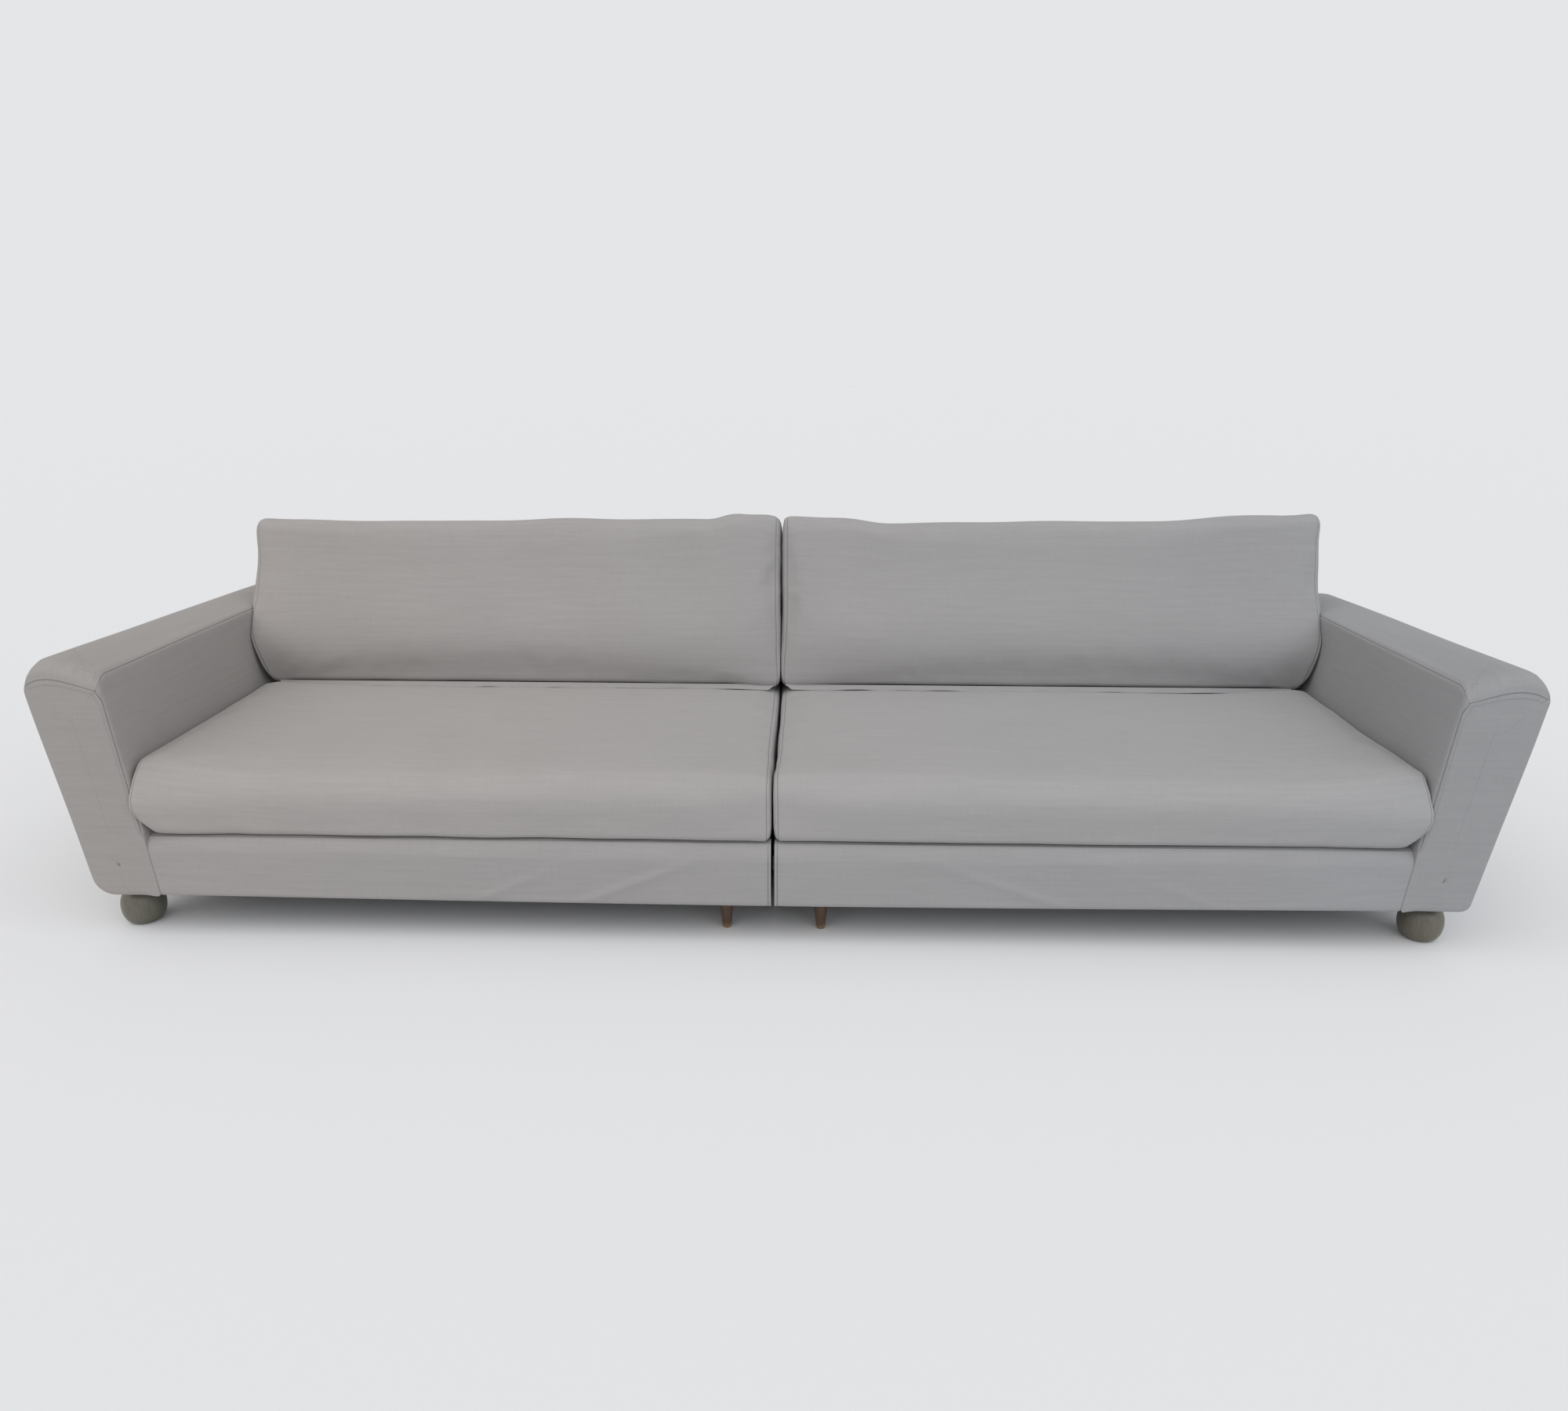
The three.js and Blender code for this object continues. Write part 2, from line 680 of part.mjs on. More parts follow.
// The back cushion stands on the seat cushion, behind the line where its lower front edge is round
const backCushionNominalY = backFrontY(seatCushionBottomZ + seatCushionRearHeight)
  - backCushionBottomDepth;
const seatUnderBack = seatForm.intersect(block(
  [0, backCushionNominalY + backCushionEdgeRadius, floorClearance],
  [armOuterTopX, rearTopY, armHeight]));
const backCushionBottomZ = seatUnderBack.boundingBox().max[2] + fit;
const backCushionTopZ = backCushionBottomZ + backCushionHeight;
const backCushionFrontY = backFrontY(backCushionBottomZ) - backCushionBottomDepth;
const backCushionFrontTopY = backFrontY(backCushionTopZ) - backCushionTopDepth;
const backCushionRearTopZ = backCushionTopZ - backCushionTopDrop;
const backCushion = {
  innerX: cushionMateGap,
  outerX: armInnerTopX - backCushionSideGap,
  endLean: backCushionEndLean,
  endRadius: backCushionEndRadius,
  topCrown: backCushionTopCrown,
  frontCrown: backCushionCrown,
  crownHeightShare: backCrownHeightShare,
  corners: [
    { at: [backCushionFrontY, backCushionBottomZ], radius: backCushionEdgeRadius },
    { at: [backFrontY(backCushionBottomZ) - 2 * fit, backCushionBottomZ],
      radius: backCushionEdgeRadius },
    { at: [backFrontY(backCushionRearTopZ) - 2 * fit, backCushionRearTopZ],
      radius: backCushionTopRadius },
    { at: [backCushionFrontTopY, backCushionTopZ], radius: backCushionTopRadius },
  ],
};
const backCushionLean = (backCushionFrontTopY - backCushionFrontY) / backCushionHeight;

// A zip's place: the middle of its line, and the turn about X that points its Z outwards
function zipPlace(y, z, outwards) {
  return { y, z, turn: Math.atan2(-outwards.x, outwards.y) };
}

const seatZip = zipPlace(
  seatCushionRearY, seatCushionBottomZ + seatCushionRearHeight / 2, new THREE.Vector2(1, 0));

// The back cushion's zip runs along the facet in the middle of its round lower front edge
function backZipPlace() {
  const corner = new THREE.Vector2(backCushionFrontY, backCushionBottomZ);
  const upwards = new THREE.Vector2(backCushionLean, 1).normalize();
  const rearwards = new THREE.Vector2(1, 0);
  const inwards = upwards.clone().add(rearwards).normalize();
  const halfAngle = Math.acos(upwards.dot(rearwards)) / 2;
  const centre = corner.addScaledVector(inwards, backCushionEdgeRadius / Math.sin(halfAngle));
  const facetHalfAngle = (Math.PI - 2 * halfAngle) / cushionArcSteps / 2;
  const face = centre.addScaledVector(inwards, -backCushionEdgeRadius * Math.cos(facetHalfAngle));
  return zipPlace(face.x, face.y, inwards.negate());
}

const backZip = backZipPlace();

// A box given in a zip's own frame
function zipBlock(zip, [x0, y0, z0], [x1, y1, z1]) {
  const box = new THREE.BoxGeometry(x1 - x0, y1 - y0, z1 - z0)
    .translate((x0 + x1) / 2, (y0 + y1) / 2, (z0 + z1) / 2)
    .rotateX(zip.turn)
    .translate(0, zip.y, zip.z);
  return solidOf(box);
}

// The cover: the cushion's form hollowed for its foam, with a slit between two raised tapes
function cushionCover(form, cushion, zip) {
  const x0 = cushion.innerX + zipEndMargin;
  const x1 = cushion.outerX - zipEndMargin;
  const tape = zipBlock(
    zip, [x0, -zipTapeWidth / 2, -zipTapeWidth / 2], [x1, zipTapeWidth / 2, zipTapeThickness]);
  const slit = zipBlock(
    zip, [x0, -zipSlit / 2, -waddingThickness - zipSlit], [x1, zipSlit / 2, zipSlit]);
  return form.add(tape).subtract(foamBlock(cushion, fit)).subtract(slit);
}

// The flap that hangs over the back cushion's zip, from a root sewn into the front panel
function zipFlap() {
  const planeY = (z) => backCushionFrontY + (z - backCushionBottomZ) * backCushionLean;
  const bottomZ = backCushionBottomZ + zipFlapDrop;
  const rootZ = bottomZ + zipFlapHeight;
  const topZ = rootZ + zipFlapRoot;
  const frontShift = -zipFlapThickness / 2;
  const points = shapePoints([
    [planeY(bottomZ) + frontShift, bottomZ],
    [planeY(bottomZ) + frontShift + zipFlapThickness, bottomZ],
    [planeY(rootZ) + frontShift + zipFlapThickness, rootZ],
    [planeY(rootZ) + zipFlapRoot, rootZ],
    [planeY(topZ) + zipFlapRoot, topZ],
    [planeY(topZ), topZ],
  ]);
  return prismX(
    points, backCushion.innerX + zipEndMargin, backCushion.outerX - zipEndMargin);
}

// A zip slider in the zip's frame: a body pointed at one end, a bridge and a pull tab
function zipSlider() {
  const floor = zipTapeThickness + fit;
  const top = floor + sliderThickness;
  const half = sliderWidth / 2;
  const body = solidOf(extruded(shapePoints([
    [-sliderLength / 2, -half / 2],
    [0, -half],
    [sliderLength / 2, -half],
    [sliderLength / 2, half],
    [0, half],
    [-sliderLength / 2, half / 2],
  ]), sliderThickness).translate(0, 0, floor));
  const pull = solidOf(extruded(
    roundedOutline([
      { at: [0, -pullWidth / 2], radius: leastRadius },
      { at: [pullLength, -pullWidth / 2], radius: pullWidth * pullRoundingShare },
      { at: [pullLength, pullWidth / 2], radius: pullWidth * pullRoundingShare },
      { at: [0, pullWidth / 2], radius: leastRadius },
    ], 0), pullThickness).translate(0, 0, top - pullThickness / 2));
  return body.add(pull);
}

// A turned piece standing on the floor at x = y = 0, from a profile of radius and height
function turned(profile, sides) {
  return new THREE.LatheGeometry(shapePoints(profile), sides).rotateX(Math.PI / 2);
}

// The round foot: a bulb on a narrow base, a waist, and a collar under the arm. Its neck
// passes through the arm's cover to the base board.
function bunFoot() {
  const base = bunFootBaseDiameter / 2;
  const widest = bunFootDiameter / 2;
  const waist = bunFootWaistDiameter / 2;
  const collar = bunFootCollarDiameter / 2;
  const neck = bunFootNeckDiameter / 2;
  const collarTopZ = floorClearance - fit;
  const neckTopZ = floorClearance + paddingThickness;
  const profile = [[0, 0]];
  for (let k = 0; k < bunFootSteps; k += 1) {
    const angle = k / bunFootSteps * Math.PI / 2;
    profile.push([base + (widest - base) * Math.sin(angle),
      bunFootWidestHeight * (1 - Math.cos(angle))]);
  }
  for (let k = 0; k <= bunFootSteps; k += 1) {
    const angle = k / bunFootSteps * Math.PI / 2;
    profile.push([waist + (widest - waist) * Math.cos(angle),
      bunFootWidestHeight + (bunFootWaistHeight - bunFootWidestHeight) * Math.sin(angle)]);
  }
  profile.push([collar, collarTopZ - bunFootCollarHeight], [collar, collarTopZ],
    [neck, collarTopZ], [neck, neckTopZ], [0, neckTopZ]);
  return turned(profile, footSides);
}

function bunFootHole(y) {
  const hole = new THREE.CylinderGeometry(
    bunFootNeckDiameter / 2 + fit, bunFootNeckDiameter / 2 + fit,
    2 * (paddingThickness + fit), footSides);
  return solidOf(hole.rotateX(Math.PI / 2).translate(bunFootX, y, floorClearance));
}

function pegFoot() {
  return turned([
    [0, 0],
    [pegTipDiameter / 2 - pegTipBevel, 0],
    [pegTipDiameter / 2, pegTipHeight],
    [pegTopDiameter / 2, pegTopZ],
    [0, pegTopZ],
  ], pegSides);
}

// Across the gap between the halves, from the right half's lining to the left one's
const studBaseX = mateX - fit - studBaseThickness;
const forkTongueX = studBaseX - connectorPlay - forkPlateThickness;
const studHeadOuterX = -mateX + connectorPlay;
const studHeadInnerX = forkTongueX - connectorPlay;

// The headed stud, about the Z axis before it is turned to point at the left half
function stud() {
  const profile = [
    [0, 0],
    [studHeadDiameter / 2, 0],
    [studHeadDiameter / 2, studHeadInnerX - studHeadOuterX],
    [studDiameter / 2, studHeadInnerX - studHeadOuterX],
    [studDiameter / 2, studBaseX - studHeadOuterX],
    [studBaseDiameter / 2, studBaseX - studHeadOuterX],
    [studBaseDiameter / 2, mateX - fit - studHeadOuterX],
    [0, mateX - fit - studHeadOuterX],
  ];
  return turned(profile, studSides).rotateY(Math.PI / 2).translate(studHeadOuterX, 0, 0);
}

// The forked plate, in the left half's mirrored frame: a flange on the lining, a step, and a
// tongue with an open slot whose round bottom holds the stud at z = 0
function fork() {
  const flangeX = mateX - fit;
  const tongueX = -forkTongueX;
  const stepZ = -studHeadDiameter / 2 - 2 * connectorPlay;
  const bottomZ = stepZ - forkFlangeHeight;
  const plate = prismY(shapePoints([
    [flangeX - forkPlateThickness, bottomZ],
    [flangeX, bottomZ],
    [flangeX, stepZ],
    [tongueX, stepZ],
    [tongueX, forkSlotHeight],
    [tongueX - forkPlateThickness, forkSlotHeight],
    [tongueX - forkPlateThickness, stepZ - forkPlateThickness],
    [flangeX - forkPlateThickness, stepZ - forkPlateThickness],
  ]), -forkPlateWidth / 2, forkPlateWidth / 2);
  const screws = [-1, 1].map((side) => {
    const head = new THREE.CylinderGeometry(
      screwHeadDiameter / 2, screwHeadDiameter / 2, 2 * screwHeadHeight, screwSides);
    return solidOf(head.rotateZ(Math.PI / 2).translate(
      flangeX - forkPlateThickness, side * forkPlateWidth / 4, stepZ - forkFlangeHeight / 2));
  });
  return wasm.Manifold.union([plate, ...screws]).subtract(forkSlot());
}

function forkSlot() {
  const half = studDiameter / 2 + fit;
  const points = [];
  for (let k = 0; k <= studSides / 2; k += 1) {
    const angle = Math.PI + k / (studSides / 2) * Math.PI;
    points.push([half * Math.cos(angle), half * Math.sin(angle)]);
  }
  points.push(
    [half, forkSlotHeight - forkMouthFlare],
    [half + forkMouthFlare, forkSlotHeight],
    [half + forkMouthFlare, forkSlotHeight + overrun],
    [-half - forkMouthFlare, forkSlotHeight + overrun],
    [-half - forkMouthFlare, forkSlotHeight],
    [-half, forkSlotHeight - forkMouthFlare]);
  return prismX(shapePoints(points), -halvesGap, halvesGap);
}

function placed(piece, x, y, z) {
  piece.position.set(x, y, z);
  return piece;
}

// A slider on its zip, at the closed end next to the arm
function sliderOn(zip, cushion, name) {
  const piece = mesh(name, zipSlider(), zipMetal);
  piece.rotation.x = zip.turn;
  return placed(piece, cushion.outerX - zipEndMargin - pullLength, zip.y, zip.z);
}

// One half of the sofa, its pieces' names ending in its side
function half(side) {
  const group = new THREE.Group();
  const add = (name, solid, finish) => group.add(mesh(`${name}_${side}`, solid, finish));
  const frame = armFrame();
  add('arm_cover', armCover(), fabric);
  add('front_rail_cover', frontRailCover(), fabric);
  add('back_cover', backCover(), fabric);
  add('end_lining', endLining(), blackCloth);
  add('seat_deck', seatDeck(), felt);
  add('dust_cover', dustCover(), blackCloth);
  add('front_rail', frontRail(), timber);
  add('rear_rail', rearRail(), timber);
  add('outer_end_rail', outerEndRail(), timber);
  add('inner_end_panel', innerEndPanel(), plywood);
  add('leg_board', legBoard(), timber);
  add('arm_base_board', frame.base, timber);
  add('arm_front_gable', frame.frontGable, plywood);
  add('arm_rear_gable', frame.rearGable, plywood);
  add('arm_top_board', frame.top, timber);
  add('back_post_outer', backPostOuter(), plywood);
  add('back_top_rail', backTopRail(), timber);
  add('seat_springs', seatSprings(), steel);
  add('seat_cushion_cover', cushionCover(seatForm, seatCushion, seatZip), fabric);
  add('seat_cushion_core', foamBlock(seatCushion, 0), foam);
  const backShell = cushionForm(backCushion).add(zipFlap());
  add('back_cushion_cover', cushionCover(backShell, backCushion, backZip), fabric);
  add('back_cushion_core', foamBlock(backCushion, 0), foam);
  group.add(sliderOn(seatZip, seatCushion, `seat_zip_slider_${side}`));
  group.add(sliderOn(backZip, backCushion, `back_zip_slider_${side}`));
  ['front', 'rear'].forEach((end, i) => {
    const bun = mesh(`foot_outer_${end}_${side}`, bunFoot(), footPaint);
    const peg = mesh(`foot_inner_${end}_${side}`, pegFoot(), brownWood);
    const hook = mesh(`connector_${end}_${side}`, side === 'left' ? fork() : stud(), steel);
    const hookY = [railTimberRearY + connectorFromRail, rearRailFrontY - connectorFromRail][i];
    group.add(placed(bun, bunFootX, bunFootYs[i], 0));
    group.add(placed(peg, pegFromMiddle, pegYs[i], 0));
    group.add(placed(hook, 0, hookY, connectorHeight));
  });
  return group;
}

const rightHalf = half('right');
const leftHalf = half('left');
leftHalf.scale.x = -1;

const sofa = new THREE.Group();
sofa.add(rightHalf, leftHalf);
export default sofa;
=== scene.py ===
# %% [markdown]
# # Dressing a four-seater sofa
# The hard skeleton of this sofa, its boards, springs, hooks and feet, is loaded as a fixed frame of
# closed solids. This lesson gives it its skin: linen covers, loose cushions, turned feet and the
# finish of every board. Everything is in metres, X runs to the right, the front faces -Y, Z is up.

import math

import bpy
import numpy as np
from mathutils import Matrix, Vector


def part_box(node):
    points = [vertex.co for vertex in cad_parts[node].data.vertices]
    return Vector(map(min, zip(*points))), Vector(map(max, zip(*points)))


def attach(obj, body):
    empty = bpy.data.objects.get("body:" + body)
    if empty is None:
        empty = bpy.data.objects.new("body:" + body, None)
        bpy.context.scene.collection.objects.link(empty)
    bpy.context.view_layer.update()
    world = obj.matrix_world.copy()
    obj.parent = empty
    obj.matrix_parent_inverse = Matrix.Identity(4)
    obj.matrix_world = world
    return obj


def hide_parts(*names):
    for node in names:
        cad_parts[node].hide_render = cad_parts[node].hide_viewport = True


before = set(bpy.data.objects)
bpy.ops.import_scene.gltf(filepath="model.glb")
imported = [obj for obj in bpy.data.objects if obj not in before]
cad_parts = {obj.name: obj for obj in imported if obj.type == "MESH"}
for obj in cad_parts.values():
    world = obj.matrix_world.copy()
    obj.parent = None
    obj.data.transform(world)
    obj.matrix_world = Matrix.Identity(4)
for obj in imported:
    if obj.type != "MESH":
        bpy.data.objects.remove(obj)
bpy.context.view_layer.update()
scene = bpy.context.scene
scene.view_settings.view_transform = "Standard"

# %% [markdown]
# ## The camera
# The photograph was taken from standing height, a little to the right of the middle, with a wide
# lens tilted down, which is why the arms spread so far. Matching lines of the arms and rails gave
# the place and the three angles below. The camera's axes are worked out from them directly,
# because a matrix leaves no doubt about the order of turns.

# %% Camera
camera_place = (0.0732, -2.5933, 1.2508)
camera_yaw = math.radians(-1.319)
camera_down = math.radians(17.874)
camera_roll = math.radians(0.128)
lens_mm = 24.3
sensor_mm = 36.0


def camera_axes(yaw, down, roll):
    """Right, up and backwards of a camera turned by yaw, tilted down, then rolled about its view."""
    ahead = Vector((math.sin(yaw) * math.cos(down), math.cos(yaw) * math.cos(down), -math.sin(down)))
    right = Vector((math.cos(yaw), -math.sin(yaw), 0))
    up = right.cross(ahead)
    return (right * math.cos(roll) + up * math.sin(roll),
            up * math.cos(roll) - right * math.sin(roll), -ahead)


camera = bpy.data.objects.new("camera", bpy.data.cameras.new("camera"))
scene.collection.objects.link(camera)
camera.matrix_world = Matrix.Translation(camera_place) @ Matrix(
    camera_axes(camera_yaw, camera_down, camera_roll)).transposed().to_4x4()
camera.data.lens = lens_mm
camera.data.sensor_width = sensor_mm
scene.camera = camera
print("camera at", camera_place)

# %% [markdown]
# ## Floor and light
# The sofa stands on a pale floor that runs into a background of the same grey. Two broad suns and
# an even sky give soft shadows and reach every part of the floor alike, which a lamp near the
# sofa wouldn't. The left sun is a little warm and the right one a little cool, as in the room.
# The background's grey is seen by the camera and by reflections alone, so it adds no light.

# %% Node helpers
def wired(tree, kind, inputs=None, **settings):
    """A shader node with its settings, each input given as a value or as another node's output."""
    node = tree.nodes.new(kind)
    for key, value in settings.items():
        setattr(node, key, value)
    for key, value in (inputs or {}).items():
        if isinstance(value, bpy.types.NodeSocket):
            tree.links.new(value, node.inputs[key])
        else:
            node.inputs[key].default_value = value
    return node


def calc(tree, operation, a, b=0.0, c=0.0, clamp=False):
    """The result of one Math node."""
    inputs = {0: a, 1: b, 2: c}
    return wired(tree, "ShaderNodeMath", inputs, operation=operation, use_clamp=clamp).outputs[0]


def new_material(name):
    """An empty material and its node tree."""
    material = bpy.data.materials.new(name)
    material.use_nodes = True
    material.node_tree.nodes.clear()
    return material, material.node_tree


def finish_with(tree, **inputs):
    """The shader and the output that end a material: inputs are the shader's, spaces as underscores."""
    named = {key.replace("_", " "): value for key, value in inputs.items()}
    shader = wired(tree, "ShaderNodeBsdfPrincipled", named)
    wired(tree, "ShaderNodeOutputMaterial", {"Surface": shader.outputs[0]})


def object_place(tree):
    """Where a point lies in the object's own frame, in metres."""
    return wired(tree, "ShaderNodeTexCoord").outputs["Object"]


def apart(tree, vector):
    """The three numbers of a vector."""
    return wired(tree, "ShaderNodeSeparateXYZ", {0: vector}).outputs


def noise(tree, place, scale, **more):
    """Noise of a scale at a place: more holds the node's other inputs."""
    return wired(tree, "ShaderNodeTexNoise", {"Vector": place, "Scale": scale, **more}).outputs[0]


def times(tree, a, b):
    """Two vectors multiplied, number by number."""
    return wired(tree, "ShaderNodeVectorMath", {0: a, 1: b}, operation="MULTIPLY").outputs[0]


def mixed(tree, share, first, second):
    """The first colour at a share of 0, the second at 1."""
    return wired(tree, "ShaderNodeMix", {0: share, 6: first, 7: second}, data_type="RGBA").outputs[2]


def bumped(tree, height, depth, strength):
    """The normal of a surface with fine relief."""
    return wired(tree, "ShaderNodeBump", {
        "Height": height, "Distance": depth, "Strength": strength}).outputs[0]


print("node helpers ready")

# %% Floor, world and suns
backdrop_grey = (0.783, 0.790, 0.807, 1)
floor_colour = (0.78, 0.787, 0.805, 1)
sky_strength = 0.50
floor_half = 60.0
floor_drop = 0.0004
suns = {
    "sun_left": {"strength": 1.15, "spread": 70, "place": (-0.75, -0.75, 1.35), "colour": (1, 0.965, 0.93)},
    "sun_right": {"strength": 1.0, "spread": 70, "place": (0.85, -0.95, 1.1), "colour": (0.93, 0.97, 1)},
}


def lay_floor():
    """A square of floor just under the feet, matt and pale."""
    mesh = bpy.data.meshes.new("floor")
    signs = ((-1, -1), (1, -1), (1, 1), (-1, 1))
    mesh.from_pydata([(x * floor_half, y * floor_half, -floor_drop) for x, y in signs], [], [(0, 1, 2, 3)])
    floor = bpy.data.objects.new("floor", mesh)
    scene.collection.objects.link(floor)
    material, tree = new_material("floor_paint")
    finish_with(tree, Base_Color=floor_colour, Roughness=0.9)
    mesh.materials.append(material)


def light_world():
    """An even sky that lights the sofa, shown to the camera and in reflections as the backdrop."""
    world = bpy.data.worlds.new("studio")
    world.use_nodes = True
    tree = world.node_tree
    tree.nodes.clear()
    path = wired(tree, "ShaderNodeLightPath")
    seen = calc(tree, "MAXIMUM", path.outputs["Is Camera Ray"], path.outputs["Is Glossy Ray"])
    seen = calc(tree, "MAXIMUM", seen, path.outputs["Is Transmission Ray"])
    sky = wired(tree, "ShaderNodeBackground", {"Color": (1, 1, 1, 1), "Strength": sky_strength})
    shown = wired(tree, "ShaderNodeBackground", {"Color": backdrop_grey, "Strength": 1.0})
    either = wired(tree, "ShaderNodeMixShader", {0: seen, 1: sky.outputs[0], 2: shown.outputs[0]})
    wired(tree, "ShaderNodeOutputWorld", {"Surface": either.outputs[0]})
    scene.world = world


def hang_sun(name, strength, spread, place, colour):
    """A sun with a wide disc, shining from a place towards the origin."""
    lamp = bpy.data.lights.new(name, "SUN")
    lamp.energy = strength
    lamp.angle = math.radians(spread)
    lamp.color = colour
    sun = bpy.data.objects.new(name, lamp)
    sun.location = place
    sun.rotation_euler = Vector(place).to_track_quat("Z", "Y").to_euler()
    scene.collection.objects.link(sun)


lay_floor()
light_world()
for name, sun in suns.items():
    hang_sun(name, **sun)
print("floor, sky and", len(suns), "suns")

# %% [markdown]
# ## The linen
# The covers are a plain weave of melange yarn: matt, light greige, with slubs where a yarn runs
# thick. An image of the cloth would repeat and blur, so the weave is worked out by nodes. It reads
# a UV map in metres, measured along the cloth, so threads keep their size on every panel and turn
# with it at the seams. Two more numbers on each point, how far the nearest seam is and how far
# along it the point lies, let the same material draw the topstitching and paint shade into the crease and
# along the stitches.

# %% Linen material
thread_pitch = 0.0011
linen_light = (0.440, 0.421, 0.398, 1)
linen_dark = (0.300, 0.284, 0.266, 1)
weave_depth = 0.00022
slub_share, slub_offset = 0.55, -0.28
streak_share, fleck_share, patch_share, weave_shade_share = 0.42, 0.25, 0.14, 0.22
# Painted shade: the colour is darkened along each seam's crease and along the groove of each line of
# topstitching.
crease_half_width = 0.0011
crease_shade_share = 0.55
stitch_from_seam = 0.0085
stitch_half_width = 0.0005
stitch_pitch = 0.0042
stitch_share = 0.68
stitch_shade = -0.16
relief_shares = {"slubs": 0.5, "stitch": 1.6, "hole": -1.4}
# Painted light: over this span the linen's colour turns from a warm tint at the left end to a cooler,
# darker one at the right.
painted_light_span = 3.2
painted_warm_light_left = (1.03, 1.0, 0.98, 1)
painted_cool_light_right = (0.93, 0.98, 1.03, 1)


def cloth_place(tree):
    """How far a point lies along the cloth and across it, in metres, from the UV map."""
    return apart(tree, wired(tree, "ShaderNodeUVMap").outputs[0])[:2]


def stretched_noise(tree, a, b, scale_a, scale_b, detail=2.0):
    """Noise drawn out along one of two coordinates."""
    at = wired(tree, "ShaderNodeCombineXYZ", {
        0: calc(tree, "MULTIPLY", a, scale_a), 1: calc(tree, "MULTIPLY", b, scale_b)})
    return noise(tree, at.outputs[0], 1.0, Detail=detail, Roughness=0.6)


def weave(tree, weft, warp, pitch):
    """The height of a plain weave, and 1 where the warp yarn lies on top: the product of two sines."""
    across = calc(tree, "SINE", calc(tree, "MULTIPLY", weft, math.pi / pitch))
    along = calc(tree, "SINE", calc(tree, "MULTIPLY", warp, math.pi / pitch))
    product = calc(tree, "MULTIPLY", across, along)
    return (calc(tree, "POWER", calc(tree, "ABSOLUTE", product), 0.5),
            calc(tree, "GREATER_THAN", product, 0.0))


def point_value(tree, name):
    """A number stored on the points of the mesh."""
    return wired(tree, "ShaderNodeAttribute", attribute_name=name).outputs["Fac"]


def narrow_line(tree, distance, half_width):
    """1 on a line and 0 beyond its half width, with soft edges."""
    return calc(tree, "SUBTRACT", 1.0, calc(tree, "DIVIDE", calc(tree, "ABSOLUTE", distance), half_width),
                clamp=True)


def make_linen():
    """Yarn tones mixed from slubs, streaks and flecks, with painted shade between the threads, in the seam
    creases and along the stitching, and thread relief.
    Each piece's tint is painted shade, its cover's own level of light, and the shift along the sofa is
    painted light, warm at the left and cool at the right."""
    material, tree = new_material("linen")
    weft, warp = cloth_place(tree)
    place = object_place(tree)
    height, warp_on_top = weave(tree, weft, warp, thread_pitch)
    slubs = wired(tree, "ShaderNodeMix", {
        0: warp_on_top,
        2: stretched_noise(tree, weft, warp, 18.0, 420.0),
        3: stretched_noise(tree, weft, warp, 420.0, 18.0)}).outputs[0]
    streaks = stretched_noise(tree, weft, warp, 5.0, 95.0, 3.0)
    flecks = noise(tree, place, 700.0, Detail=2.0)
    patches = noise(tree, place, 5.0, Detail=3.0)
    tone = calc(tree, "MULTIPLY_ADD", slubs, slub_share, slub_offset)
    for layer, share in ((streaks, streak_share), (flecks, fleck_share), (patches, patch_share)):
        tone = calc(tree, "MULTIPLY_ADD", layer, share, tone)
    # Painted shade: the tone is lighter on the crowns of the threads and darker in the hollows between
    # them.
    tone = calc(tree, "MULTIPLY_ADD", height, weave_shade_share, tone, clamp=True)
    colour = mixed(tree, tone, linen_dark, linen_light)
    away = point_value(tree, "seam_away")
    crease = narrow_line(tree, away, crease_half_width)
    along = calc(tree, "DIVIDE", point_value(tree, "seam_along"), stitch_pitch)
    on_thread = calc(tree, "LESS_THAN", calc(tree, "FRACT", along), stitch_share)
    from_stitch = calc(tree, "SUBTRACT", away, stitch_from_seam)
    stitch = calc(tree, "MULTIPLY", on_thread, narrow_line(tree, from_stitch, stitch_half_width))
    hole = narrow_line(tree, from_stitch, 3 * stitch_half_width)
    # Painted shade: darker in the seam's crease and in the groove along the topstitching.
    shade = calc(tree, "SUBTRACT", 1.0, calc(tree, "MULTIPLY", crease, crease_shade_share))
    shade = calc(tree, "MULTIPLY_ADD", hole, stitch_shade, shade)
    shaded = wired(tree, "ShaderNodeVectorMath", {0: colour, "Scale": shade}, operation="SCALE").outputs[0]
    # Painted shade: the piece's own tint gives each cover its own level of light, darker for the arms,
    # rails and low back.
    shaded = times(tree, shaded, wired(tree, "ShaderNodeObjectInfo").outputs["Color"])
    # Painted light: warm towards the left end of the sofa, cool and darker towards the right.
    from_left = calc(tree, "MULTIPLY_ADD", apart(tree, place)[0], 1 / painted_light_span, 0.5, clamp=True)
    shaded = times(tree, shaded, mixed(tree, from_left, painted_warm_light_left, painted_cool_light_right))
    relief = height
    for name, layer in (("slubs", slubs), ("stitch", stitch), ("hole", hole)):
        relief = calc(tree, "MULTIPLY_ADD", layer, relief_shares[name], relief)
    finish_with(tree, Base_Color=shaded, Roughness=0.93, Normal=bumped(tree, relief, weave_depth, 0.7),
                Sheen_Weight=0.12, Sheen_Roughness=0.5, Specular_IOR_Level=0.25)
    return material


# Painted shade: a tint for each cover sets how much light it seems to get, with a cool cast. The seat
# cushions get the most.
painted_shade_tints = {
    "arm_cover_linen": (0.86, 0.87, 0.91),
    "front_rail_linen": (0.89, 0.90, 0.95),
    "seat_cushion_linen": (0.985, 0.99, 1.03),
    "back_cushion_linen": (0.93, 0.935, 0.98),
    "zip_flap": (0.93, 0.935, 0.98),
    "low_back_linen": (0.89, 0.90, 0.95),
}
linen = make_linen()
print("linen: threads", thread_pitch * 1000, "mm apart")

